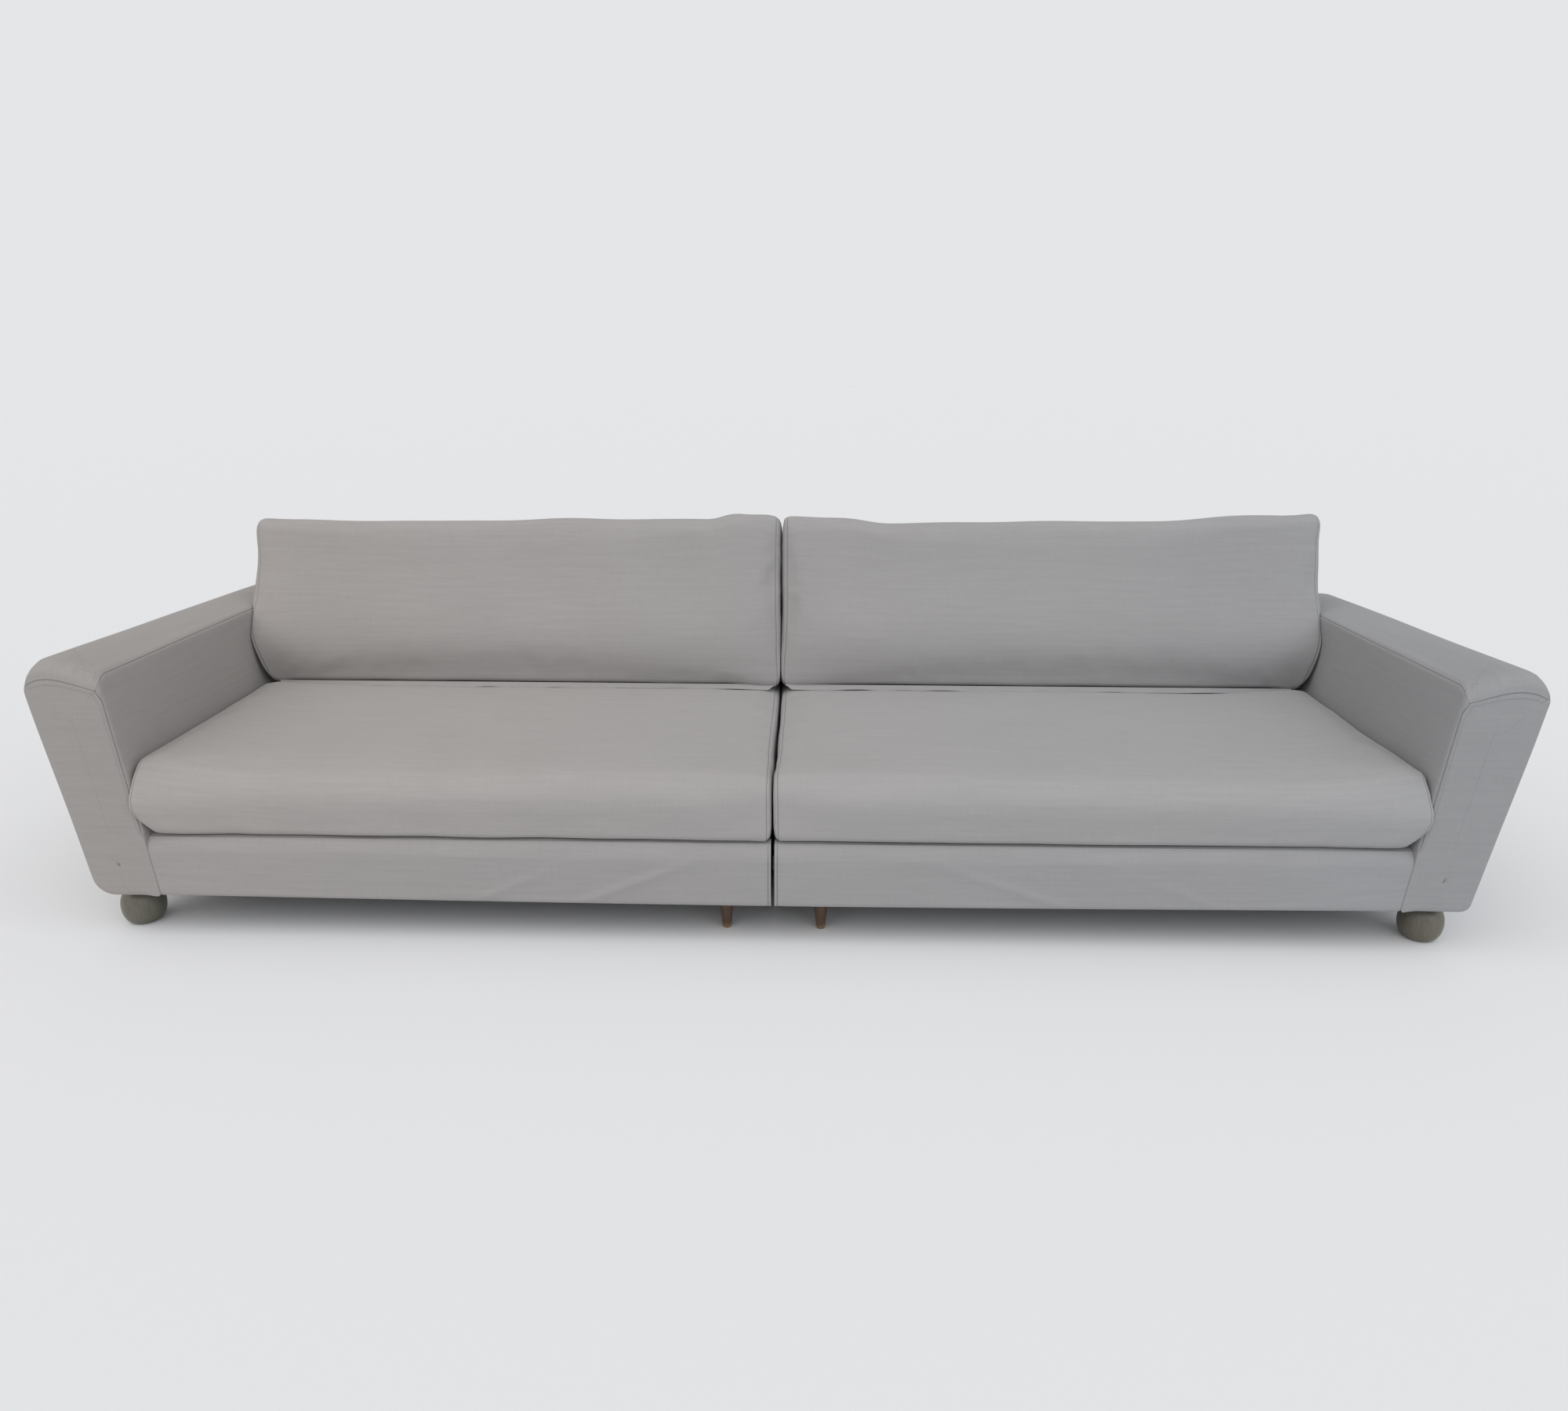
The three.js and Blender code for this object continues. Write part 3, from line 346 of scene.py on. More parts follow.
# %% [markdown]
# ## Surfaces from arrays
# Every cover here could be modelled by pushing and pulling points, but a form that is worked out
# can be set against the frame to a tenth of a millimetre. Each one is a rounded outline with four
# corners, carried along the piece ring by ring, and each end is closed by the same outline
# shrinking onto its own middle line. A ring's place is a distance along the cloth in metres, so
# seams can be put in at real distances afterwards.

# %% Outlines
least_radius = 0.001
arc_points = 12
edge_points = 40
quarter = np.pi / 2


def unit(vectors):
    """Vectors of length one, pointing the same way."""
    return vectors / np.maximum(np.linalg.norm(vectors, axis=-1, keepdims=True), 1e-12)


def rounded_outlines(corners, radii, inset):
    """Outlines with four round corners, one for each ring, moved inwards by the ring's inset. Each
    corner's arc has its centre on the line that halves the corner, (inset + radius) / sin(half the
    corner's angle) away from it."""
    before = unit(np.roll(corners, 1, axis=-2) - corners)
    after = unit(np.roll(corners, -1, axis=-2) - corners)
    half = np.arccos(np.clip((before * after).sum(-1), -1, 1)) / 2
    inwards = unit(before + after)
    radius = np.maximum(radii, least_radius)
    centre = corners + inwards * ((inset[..., None] + radius) / np.sin(half))[..., None]
    middle = np.arctan2(-inwards[..., 1], -inwards[..., 0])
    angle = middle[..., None] + (np.pi - 2 * half)[..., None] * np.linspace(-0.5, 0.5, arc_points)
    radius = np.broadcast_to(radius, half.shape)
    arcs = centre[..., None, :] + radius[..., None, None] * np.stack([np.cos(angle), np.sin(angle)], -1)
    share = np.linspace(0, 1, edge_points + 2)[1:-1, None]
    runs = []
    for corner in range(4):
        start = arcs[..., corner, -1:, :]
        stop = arcs[..., (corner + 1) % 4, :1, :]
        runs += [arcs[..., corner, :, :], start + (stop - start) * share]
    return np.concatenate(runs, axis=-2)


def walked(outline):
    """The distance walked round a closed outline, up to each of its points and back to the first."""
    steps = np.linalg.norm(np.roll(outline, -1, axis=0) - outline, axis=-1)
    return np.concatenate([[0], np.cumsum(steps)])


def corner_walk(walk, corner):
    """The distance walked up to the middle of a corner's arc."""
    return np.interp(corner * (arc_points + edge_points) + (arc_points - 1) / 2, np.arange(len(walk)), walk)


def sample(outlines, walk, around):
    """Each outline at the same distances round the full-size one."""
    index = np.interp(around, walk, np.arange(len(walk)))
    whole = np.floor(index).astype(int) % (len(walk) - 1)
    part = (index % 1)[:, None]
    return outlines[..., whole, :] * (1 - part) + outlines[..., (whole + 1) % (len(walk) - 1), :] * part


print("outline points:", 4 * (arc_points + edge_points))

# %% Rings
dense_offsets = (0.0011, 0.0025, 0.0045, 0.0075, 0.012)


def spaced(length, step, dense_at=(), start=0.0):
    """Distances from start to start + length, a step apart, with more on both sides of each seam."""
    even = start + np.linspace(0, length, max(int(round(length / step)), 1) + 1)
    for seam in dense_at:
        inner = (even > start) & (even < start + length) & (np.abs(even - seam) < max(dense_offsets) * 1.3)
        near = seam + np.concatenate([[0.0], dense_offsets, -np.array(dense_offsets)])
        even = np.concatenate([even[~inner], near[(near > start) & (near < start + length)]])
    return np.unique(even.round(6))


def run_length(start, stop, radii, cap):
    """The walk along a closed form: a cap, a quarter round, the straight part, and back down."""
    return 2 * cap + sum(radii) * quarter + (stop - start - sum(radii))


def rings_along(start, stop, radii, cap, walk, nominal=None):
    """Each ring's place, its inset and its share of shrinking. In a quarter round of radius r at
    angle a, a ring is r * (1 - cos a) from the end and inset by r * (1 - sin a)."""
    first, last = radii
    first_walk, last_walk = nominal or radii
    total = walk[-1]
    from_start = walk - cap
    from_stop = total - cap - walk
    angle = np.clip(from_start / first_walk, 0, quarter), np.clip(from_stop / last_walk, 0, quarter)
    straight = total - 2 * cap - (first_walk + last_walk) * quarter
    share = np.clip((from_start - first_walk * quarter) / straight, 0, 1)
    place = (start + first * (1 - np.cos(angle[0])) + share * (stop - start - first - last)
             + last * np.cos(angle[1]))
    rounding = np.stack([first * (1 - np.sin(angle[0])), last * (1 - np.sin(angle[1]))])
    shrink = np.clip(np.maximum(-from_start, -from_stop) / cap, 0, 1)
    return place, rounding, shrink


def middle_lines(corners):
    """The line down the middle of each four-cornered outline, half a width short of its ends."""
    sides = (corners + np.roll(corners, -1, axis=-2)) / 2
    spans = np.linalg.norm(sides[..., :2, :] - sides[..., 2:, :], axis=-1)
    longer = int(spans[0, 1] > spans[0, 0])
    first, last = sides[:, longer], sides[:, longer + 2]
    inward = (last - first) * (spans[:, 1 - longer] / spans[:, longer] / 2)[:, None]
    return first + inward, last - inward


def shrunk(outlines, share, corners, line_step=0.012):
    """Outlines drawn towards their middle line by a share. At 1 they lie on it, at even steps, so
    that both sides of the outline meet there in the same points."""
    start, stop = middle_lines(corners)
    along = stop - start
    length = np.linalg.norm(along, axis=-1)[:, None]
    reach = np.clip(((outlines - start[:, None]) * along[:, None]).sum(-1) / length ** 2, 0, 1)
    steps = np.maximum(np.round(length / line_step), 1)
    snapped = np.round(reach * steps) / steps
    share = share[:, None]
    reach = np.where(share > 0.999, snapped, reach)
    middle = start[:, None] + reach[..., None] * along[:, None]
    return middle + (outlines - middle) * (1 - share)[..., None]


print("rings lie closer together within", max(dense_offsets) * 1000, "mm of a seam")

# %% Meshes from grids
weld_places = 5
far_from_seam = 0.03
hair = 0.0001


def grid_cells(rows, columns, closed):
    """The four-sided cells between the points of a grid, as row and column of each corner."""
    row, column = np.meshgrid(np.arange(rows - 1), np.arange(columns - (not closed)), indexing="ij")
    row, column = row.ravel(), column.ravel()
    return (np.stack([row, row, row + 1, row + 1], -1),
            np.stack([column, column + 1, column + 1, column], -1))


def grid_part(points, u, v, closed=False, around=0.0, seam=None, end_panel=None, cavity=False):
    """A grid of points as triangles, with each corner's place on the cloth. u and v are the places
    of rows and columns, and around is the whole way round a closed grid. end_panel is a mask of
    rows and the two coordinates that stand in for u and v there."""
    rows, columns = points.shape[:2]
    row, column = grid_cells(rows, columns, closed)
    uv = np.stack([u[row], np.append(v, around)[column]], -1)
    column = column % columns
    if end_panel:
        mask, flat = end_panel
        uv = np.where(mask[row].all(-1)[:, None, None], flat[row, column], uv)
    cells = row * columns + column
    faces = np.concatenate([cells[:, [0, 1, 2]], cells[:, [0, 2, 3]]])
    uv = np.concatenate([uv[:, [0, 1, 2]], uv[:, [0, 2, 3]]])
    away, along = seam if seam is not None else (np.full((rows, columns), far_from_seam),) * 2
    return {"points": points.reshape(-1, 3), "faces": faces, "uv": uv, "cavity": cavity,
            "away": np.clip(away, -far_from_seam, far_from_seam).ravel(), "along": along.ravel()}


def shell_part(outer, inner, u, v, seam=None):
    """The closed wall between two open grids of the same size: both surfaces and the rim."""
    skin = grid_part(outer, u, v, seam=seam)
    number = np.arange(outer.shape[0] * outer.shape[1]).reshape(outer.shape[:2])
    border = np.concatenate([number[0], number[1:, -1], number[-1, -2::-1], number[-2:0:-1, 0]])
    following = np.roll(border, -1)
    rim = np.concatenate([np.stack([border, following, following + number.size], -1),
                          np.stack([border, following + number.size, border + number.size], -1)])
    faces = np.concatenate([skin["faces"], skin["faces"][:, ::-1] + number.size, rim[:, ::-1]])
    rim_uv = np.zeros((len(rim), 3, 2))
    far = np.full(number.size, far_from_seam)
    return {"points": np.concatenate([skin["points"], inner.reshape(-1, 3)]), "faces": faces,
            "uv": np.concatenate([skin["uv"], skin["uv"][:, ::-1], rim_uv]), "cavity": False,
            "away": np.concatenate([skin["away"], far]), "along": np.concatenate([skin["along"], far])}


def welded(part):
    """The part with points at the same place made one, empty triangles dropped, and its faces
    turned outwards, or inwards for a cavity, by the sign of the volume that they enclose."""
    points = part["points"]
    _, first, number = np.unique(points.round(weld_places), axis=0, return_index=True, return_inverse=True)
    faces = number.ravel()[part["faces"]]
    whole = (faces != np.roll(faces, 1, axis=1)).all(1)
    faces, uv = faces[whole], part["uv"][whole]
    points = points[first]
    a, b, c = (points[faces[:, corner]] for corner in range(3))
    volume = (a * np.cross(b, c)).sum() / 6
    if (volume < 0) != part["cavity"]:
        faces, uv = faces[:, ::-1], uv[:, ::-1]
    return {"points": points, "faces": faces, "uv": uv, "volume": abs(volume), "number": number.ravel(),
            "away": part["away"][first], "along": part["along"][first]}


def add_mesh(name, parts, sharp=None):
    """A mesh object from welded parts, smooth but for edges sharper than an angle."""
    offsets = np.cumsum([0] + [len(part["points"]) for part in parts])
    faces = np.concatenate([part["faces"] + offset for part, offset in zip(parts, offsets)])
    mesh = bpy.data.meshes.new(name)
    mesh.from_pydata(np.concatenate([part["points"] for part in parts]).tolist(), [], faces.tolist())
    uv = np.concatenate([part["uv"] for part in parts])
    mesh.uv_layers.new(name="cloth").data.foreach_set("uv", uv.ravel())
    for key in ("away", "along"):
        values = np.concatenate([part[key] for part in parts])
        mesh.attributes.new("seam_" + key, "FLOAT", "POINT").data.foreach_set("value", values)
    mesh.shade_smooth()
    if sharp:
        mesh.set_sharp_from_angle(angle=math.radians(sharp))
    piece = bpy.data.objects.new(name, mesh)
    scene.collection.objects.link(piece)
    return piece


def dress(name, parts, side, body, material, replaces=(), sharp=None):
    """A finished piece of one half: its parts mirrored for the left one, riding on a body."""
    flip = np.array([-1.0 if side == "left" else 1.0, 1, 1])
    parts = [welded({**part, "points": part["points"] * flip}) for part in parts]
    piece = add_mesh(name + "_" + side, parts, sharp)
    piece.data.materials.append(material)
    # Painted shade: the tint gives the cover its level of light.
    piece.color = (*painted_shade_tints.get(name, (1, 1, 1)), 1)
    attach(piece, body)
    if replaces:
        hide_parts(*[node + "_" + side for node in replaces])
    return piece


def dress_both(name, make_parts, first_seed, body, replaces, sharp=None):
    """The left and the right linen cover of one kind, each with its own random numbers."""
    for seed, side in enumerate(("left", "right"), first_seed):
        piece = dress(name, make_parts(side, seed), side, body.format(side), linen,
                      replaces, sharp)
        print(piece.name, len(piece.data.polygons), "triangles")


print("points closer than", 10.0 ** -weld_places * 1000, "mm become one")

# %% [markdown]
# ## Seams and unevenness
# Where two panels are sewn, the thread pulls the cloth into a narrow groove, the padding on both
# sides rises out of it over a finger's width, and the cloth puckers a little between the stitches.
# Bump would show this only from one side, so the seams move the surface itself. Between the
# seams, padded cloth is never quite flat, and long soft waves stand for that.

# %% Seam profile and waves
seam_groove = 0.0016
seam_half_width = 0.0016
seam_pull = 0.0013
seam_pull_reach = 0.016
pucker_height = 0.00035
pucker_length = 0.019
pucker_reach = 0.012


def seam_relief(away, along):
    """How far a seam moves the surface outwards: a narrow groove, the slope of the padding that
    dies away with distance, and small puckers along the seam."""
    away = np.abs(away)
    groove = np.exp(-(away / seam_half_width) ** 2)
    fade = np.exp(-away / pucker_reach) * (1 - groove)
    wander = 2 * np.sin(7.0 * along) + 2 * np.sin(23.0 * along + 1.0)
    pucker = pucker_height * np.sin(2 * np.pi * along / pucker_length + wander) * fade
    return pucker - seam_groove * groove - seam_pull * np.exp(-away / seam_pull_reach)


def nearest_seam(*seams):
    """The signed distance from the nearest of several seams and the distance along it."""
    away = np.stack([seam[0] for seam in seams])
    along = np.stack([seam[1] for seam in seams])
    choice = np.abs(away).argmin(0)[None]
    return np.take_along_axis(away, choice, 0)[0], np.take_along_axis(along, choice, 0)[0]


def smooth(values, low, high):
    """0 up to low, 1 from high, and 3t^2 - 2t^3 between them."""
    t = np.clip((values - low) / (high - low), 0, 1)
    return t * t * (3 - 2 * t)


def smooth_at(values, place, fade):
    """smooth, between two distances from a place."""
    return smooth(values, place + fade[0], place + fade[1])


def edge_drop(from_edge, radius):
    """How far a rounded edge lies below the face, at a distance from the edge."""
    short = radius - np.clip(from_edge, 0, radius)
    return radius - np.sqrt(radius ** 2 - short ** 2)


def waves(points, length, count, seed):
    """Smooth unevenness between about -1 and 1: cosines in a few random directions, added up."""
    rng = np.random.default_rng(seed)
    pull = unit(rng.normal(size=(count, 3))) / (length * rng.uniform(0.7, 1.5, (count, 1)))
    phase = rng.uniform(0, 2 * np.pi, count)
    return np.cos(2 * np.pi * points @ pull.T + phase).sum(-1) / math.sqrt(count)


def grid_normals(points, closed=True):
    """Which way the surface faces at each point of a grid, from its neighbours, pointing outwards."""
    down = np.gradient(points, axis=0)
    if closed:
        across = np.roll(points, -1, axis=1) - np.roll(points, 1, axis=1)
    else:
        across = np.gradient(points, axis=1)
    normals = unit(np.cross(across, down))
    outwards = np.sign(((points - points.mean((0, 1))) * normals).sum(-1).mean())
    return normals * outwards


def flat_ends(normals, walk, cap, first, last):
    """Normals with those of the two end caps set, because a grid that shrinks to a line has none."""
    normals = np.where((walk < cap)[:, None, None], unit(np.array(first)), normals)
    return np.where((walk > walk[-1] - cap)[:, None, None], unit(np.array(last)), normals)


def together(points, moved):
    """Moved points, where those that lay in one place still share one, the mean of where they went."""
    _, group, count = np.unique(points.reshape(-1, 3).round(weld_places), axis=0,
                                return_inverse=True, return_counts=True)
    total = np.zeros((len(count), 3))
    np.add.at(total, group.ravel(), moved.reshape(-1, 3))
    return (total / count[:, None])[group.ravel()].reshape(moved.shape)


def spread(values, shape):
    """Values of rows or columns, given over the whole grid."""
    return np.broadcast_to(values, shape)


print("seams:", seam_groove * 1000, "mm deep")

# %% [markdown]
# ## The arms
# Each arm is a padded box that leans outwards, with a soft outer top edge and a tight seam round
# the panel that faces the front. A box with bevels would give every edge the same rounding, but
# here the outer top edge is three or four times as soft as the inner one and the front top edge
# rolls over to the front, so the outline's corners have their own radii and the front rings are lowered.
# Below the seat, the arm's cloth is sewn flush to the rail's, so its face edge nearly vanishes.

# %% Arm sizes
arm_top_width = 0.179
arm_bottom_width = 0.148
arm_flare = 0.078
arm_rear_lean = 0.055
arm_radii = {
    "left": np.array([0.006, 0.048, 0.046, 0.012]),
    "right": np.array([0.006, 0.024, 0.036, 0.012]),
}
arm_top_radius = 0.036
arm_face_radius = 0.012
arm_flush_radius = 0.0025
arm_front_top_radius = 0.038
cover_thickness = 0.016
clearance = 0.0003

arm_low, arm_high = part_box("arm_cover_right")
floor_gap, arm_height = round(arm_low.z, 4), round(arm_high.z, 4)
front_y, rear_y = round(arm_low.y, 4), round(arm_high.y, 4)
body_height = arm_height - floor_gap
rear_slope = arm_rear_lean / body_height
rear_top_y = rear_y + arm_face_radius * rear_slope
rear_bottom_y = rear_top_y - arm_rear_lean
top_half_angle = math.atan2(body_height, arm_flare) / 2
outer_top_x = round(arm_high.x, 3) + arm_top_radius * (1 / math.tan(top_half_angle) - 1)
outer_bottom_x = outer_top_x - arm_flare
inner_bottom_x = outer_bottom_x - arm_bottom_width
inner_top_x = outer_top_x - arm_top_width
inner_slope = (inner_top_x - inner_bottom_x) / body_height
rail_top = round(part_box("front_rail_cover_right")[1].z, 4)
print("arm: inner face from", round(inner_bottom_x, 4), "to", round(inner_top_x, 4))


def inner_x(z):
    """Where the arm's inner face stands at a height."""
    return inner_bottom_x + (z - floor_gap) * inner_slope


def outer_x(z):
    """Where the arm's outer face stands at a height."""
    return outer_bottom_x + (z - floor_gap) * arm_flare / body_height


# %% Arm covers
arm_cap = 0.075
arm_strip_drop = 0.062
arm_step = 0.010
arm_inside_step = 0.045
arm_wave = 0.0009
arm_crown = 0.032
arm_crown_at_rear_shares = {"left": 0.28, "right": 0.06}
arm_bulge = {"left": (0.0, -0.004), "right": (0.006, 0.005)}
arm_dent = 0.010
arm_dent_from = (0.08, 0.19)
arm_dent_to = (0.31, 0.345)
arm_dent_bottom = (0.36, 0.42)
arm_dent_top_fade = (-0.09, -0.02)
arm_crown_fade = (-0.10, -0.02)
arm_front_top_fade = (-0.05, -0.012)
arm_front_outer = (0.06, 0.08)
arm_flush_depth = (0.004, 0.04)
arm_flush_fade = (-0.012, 0.03)
arm_foot_fade = (0.0, 0.02)
arm_inner_face_depth = (0.0, 0.01)
arm_wave_length = 0.35
arm_wave_highest = 0.0004
arm_roll_sharper_shares = np.array([0.0, 0.0, 0.85, 0.6])
arm_hidden_below = (0.39, 0.42)
arm_run = run_length(front_y, rear_bottom_y, (arm_face_radius,) * 2, arm_cap)
arm_seam_walk = arm_face_radius * quarter / 2
arm_corners = np.array([[inner_x(floor_gap), floor_gap], [outer_x(floor_gap), floor_gap],
                        [outer_x(arm_height), arm_height], [inner_x(arm_height), arm_height]])


def arm_padding(points, side):
    """Padding that stands out: the top rises towards the outside, most at the front, by a sine of
    the way across; the outer face bulges or is drawn in; the back cushion presses the inner face in."""
    x, y, z = np.moveaxis(points, -1, 0)
    across = np.clip((x - inner_x(z)) / (outer_x(z) - inner_x(z)), 0, 1)
    along = np.clip((y - front_y) / (rear_y - front_y), 0, 1)
    up = (z - floor_gap) / body_height
    grows = 1 - (1 - arm_crown_at_rear_shares[side]) * along
    rise = arm_crown * grows * np.sin(np.pi * across ** 1.6) ** 0.7
    rise = rise * smooth_at(z, arm_height, arm_crown_fade)
    bulge = np.interp(up, (0, 1), arm_bulge[side]) * smooth(across, 0.5, 1.0)
    dent = arm_dent * (1 - smooth(across, 0.0, 0.3)) * smooth(y, *arm_dent_from)
    dent = dent * (1 - smooth(y, *arm_dent_to))
    dent = dent * smooth(z, *arm_dent_bottom) * (1 - smooth_at(z, arm_height, arm_dent_top_fade))
    return np.stack([x + bulge + dent, y, z + rise], -1)


def arm_surface(walk, around, radii, face_radius, inset=0.0):
    """The arm's surface: its outline carried from front to rear. Where the front top edge rolls
    over, a ring d behind the face is lowered by r - sqrt(r^2 - (r - d)^2), its outer corner is
    sharper by most of that, so that the seam at the roll's foot runs straight, and the rear leans."""
    arm_walk = walked(rounded_outlines(arm_corners, radii, np.zeros(())))
    front, rear = front_y + inset, rear_bottom_y - inset
    place, rounding, shrink = rings_along(
        front, rear, (face_radius,) * 2, arm_cap, walk, (arm_face_radius,) * 2)
    roll = arm_front_top_radius - inset
    drop = edge_drop(place - front, roll)
    top = arm_height - drop + rounding[0]
    low = np.full_like(top, floor_gap)
    corners = np.stack([np.stack([inner_x(low), low], -1), np.stack([outer_x(low), low], -1),
                        np.stack([outer_x(top), top], -1), np.stack([inner_x(top), top], -1)], 1)
    inward = inset + rounding.sum(0)
    sharper = drop[:, None] * arm_roll_sharper_shares
    outlines = rounded_outlines(corners, radii - inward[:, None] - sharper, inward)
    outlines = shrunk(sample(outlines, arm_walk, around), shrink, corners)
    lean = ((place - front) / (rear - front))[:, None] * (outlines[..., 1] - floor_gap) * rear_slope
    return np.stack([outlines[..., 0], place[:, None] + lean, outlines[..., 1]], -1)


def arm_seams(walk, around, outline, arm_walk):
    """The seams: across the front at the foot of the roll and down the front's inner edge; the
    top strip's two edges, the inner one on the top's inner edge; and round the rear panel."""
    shape = (len(walk), len(around))
    top = smooth_at(outline[:, 1], arm_height, arm_front_top_fade)
    front = arm_cap + arm_seam_walk * (1 - top) - walk[:, None]
    outer = smooth(outline[:, 0] - inner_x(outline[:, 1]), *arm_front_outer) * (1 - top)
    front = np.where(outer[None] > 0.5, -far_from_seam, front)
    behind = walk[:, None] > arm_cap + arm_seam_walk * (1 - top)
    behind = behind & (walk[:, None] < arm_run - arm_cap - arm_seam_walk + hair)
    inner_edge = np.where(behind, corner_walk(arm_walk, 3) - around, 1.0)
    outer_edge = np.where(behind, around - corner_walk(arm_walk, 2) + arm_strip_drop, 1.0)
    rear = walk[:, None] - (arm_run - arm_cap - arm_seam_walk)
    return ((front, spread(around, shape)),
            (spread(inner_edge, shape), spread(walk[:, None], shape)),
            (spread(outer_edge, shape), spread(walk[:, None], shape)),
            (spread(-np.abs(rear), shape), spread(around, shape)))


def arm_parts(side, seed):
    """The outer skin with its seams and waves, and the cavity that the timber fills."""
    radii = arm_radii[side]
    arm_outline = rounded_outlines(arm_corners, radii, np.zeros(()))
    arm_walk = walked(arm_outline)
    walk = spaced(arm_run, arm_step, (arm_cap, arm_cap + arm_seam_walk, arm_run - arm_cap - arm_seam_walk))
    strip_edges = corner_walk(arm_walk, 2) - arm_strip_drop, corner_walk(arm_walk, 3)
    around = spaced(arm_walk[-1], arm_step, strip_edges)[:-1]
    outline = sample(arm_outline, arm_walk, around)
    depth = outline[:, 0] - inner_x(outline[:, 1])
    flush = 1 - smooth_at(outline[:, 1], rail_top, arm_flush_fade)
    flush = (1 - smooth(depth, *arm_flush_depth)) * flush
    flush = flush[None] * (walk < arm_run / 2)[:, None]
    points = (arm_surface(walk, around, radii, arm_face_radius) * (1 - flush)[..., None]
              + arm_surface(walk, around, radii, arm_flush_radius) * flush[..., None])
    seams = arm_seams(walk, around, outline, arm_walk)
    relief = sum(seam_relief(*seam) for seam in seams)
    relief = relief * (1 - flush) * smooth(points[..., 2] - floor_gap, *arm_foot_fade)
    inner_face = 1 - smooth(points[..., 0] - inner_x(points[..., 2]), *arm_inner_face_depth)
    hidden = inner_face * (1 - smooth(points[..., 2], *arm_hidden_below))
    uneven = arm_wave * (waves(points, arm_wave_length, 7, seed) - 0.6) * (1 - hidden)
    normals = flat_ends(grid_normals(points), walk, arm_cap, (0, -1, 0), (0, 1, -rear_slope))
    moved = arm_padding(points, side) + normals * (relief + np.minimum(uneven, arm_wave_highest))[..., None]
    moved = together(points, moved)
    away, along = nearest_seam(*seams)
    away = np.where(flush > 0.5, far_from_seam, away)
    edge_walk = arm_cap + arm_seam_walk
    panel = (walk < edge_walk + hair) | (walk > arm_run - edge_walk - hair)
    skin = grid_part(moved, walk, around, True, arm_walk[-1], (away, along), (panel, points[..., [0, 2]]))
    walk = spaced(arm_run, arm_inside_step)
    around = spaced(arm_walk[-1], arm_inside_step)[:-1]
    inside = arm_surface(walk, around, radii, least_radius, cover_thickness)
    return [skin, grid_part(inside, walk, around, True, arm_walk[-1], cavity=True)]


dress_both("arm_cover_linen", arm_parts, 11, "{}_half", ["arm_cover"])

# %% [markdown]
# ## Rails and low back
# The rail under the seat is a board wrapped in wadding and linen, open at the back where the cloth
# is stapled to the timber. The low back is wrapped the same way. Both are open shells rather than
# closed forms, so each is an open stretch of a rounded outline with an outer and an inner surface,
# joined by a rim. Cloth stapled by hand drags: slanting folds run down from where it was pulled.

# %% Front rail covers
rail_low, rail_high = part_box("front_rail_cover_right")
rail_step = 0.009
rail_edge_radius = 0.010
rail_top_radius = 0.034
rail_under_cushion_radius = 0.021
rail_hang = 0.009
rail_padding = 0.0143
rail_wrap = 0.003
rail_seam_from_end = 0.006
rail_face_depth = (0.001, 0.004)
rail_end_fade = (0.0, 0.10)
rail_foot_fade = (0.0, 0.012)
rail_top_fade = (-0.03, -0.008)
rail_wave, rail_wave_length = 0.0007, 0.22
fold_half_width = 0.016
fold_hollow_width = 0.010
drag_folds = {
    "left": ((-0.33, 0.155, 0.30, 0.40, 0.0030), (-0.62, 0.135, 0.30, 0.45, 0.0018)),
    "right": ((0.55, 0.150, 0.34, -0.35, 0.0018), (0.95, 0.130, 0.30, -0.40, 0.0012)),
}


def open_outline(corners, radii, count, first_corner, last_corner):
    """The stretch of a rounded outline from one corner's arc to another's, evenly resampled."""
    outline = rounded_outlines(corners, radii, np.zeros(()))
    step = arc_points + edge_points
    outline = np.roll(outline, -(first_corner * step + arc_points - 1), axis=0)
    run = ((last_corner - first_corner) % 4 or 4) * step - arc_points + 2
    walk = walked(outline)[:run]
    at = np.linspace(0, walk[-1], count)
    return np.stack([np.interp(at, walk, outline[:run, axis]) for axis in range(2)], -1), at


def rail_rectangle(front, bottom, top):
    """Corners of the rail's section: front bottom, rear bottom, rear top, front top."""
    return np.array([[front, bottom], [rail_high.y, bottom], [rail_high.y, top], [front, top]])


def drag_relief(x, z, folds):
    """Slanting folds: each is a bell across its own line and along it, with a hollow on one side."""
    total = np.zeros(np.broadcast_shapes(x.shape, z.shape))
    for middle_x, middle_z, length, slope, height in folds:
        line = unit(np.array([1.0, slope]))
        along = (x - middle_x) * line[0] + (z - middle_z) * line[1]
        across = (z - middle_z) * line[0] - (x - middle_x) * line[1]
        bell = np.exp(-(along / length * 2) ** 2 - (across / fold_half_width) ** 2)
        total = total + height * bell * (1 - 1.2 * np.tanh(across / fold_hollow_width))
    return total


def carried(section, x):
    """An open section in Y and Z carried along X."""
    return np.stack([x, spread(section[:, 0], x.shape), spread(section[:, 1], x.shape)], -1)


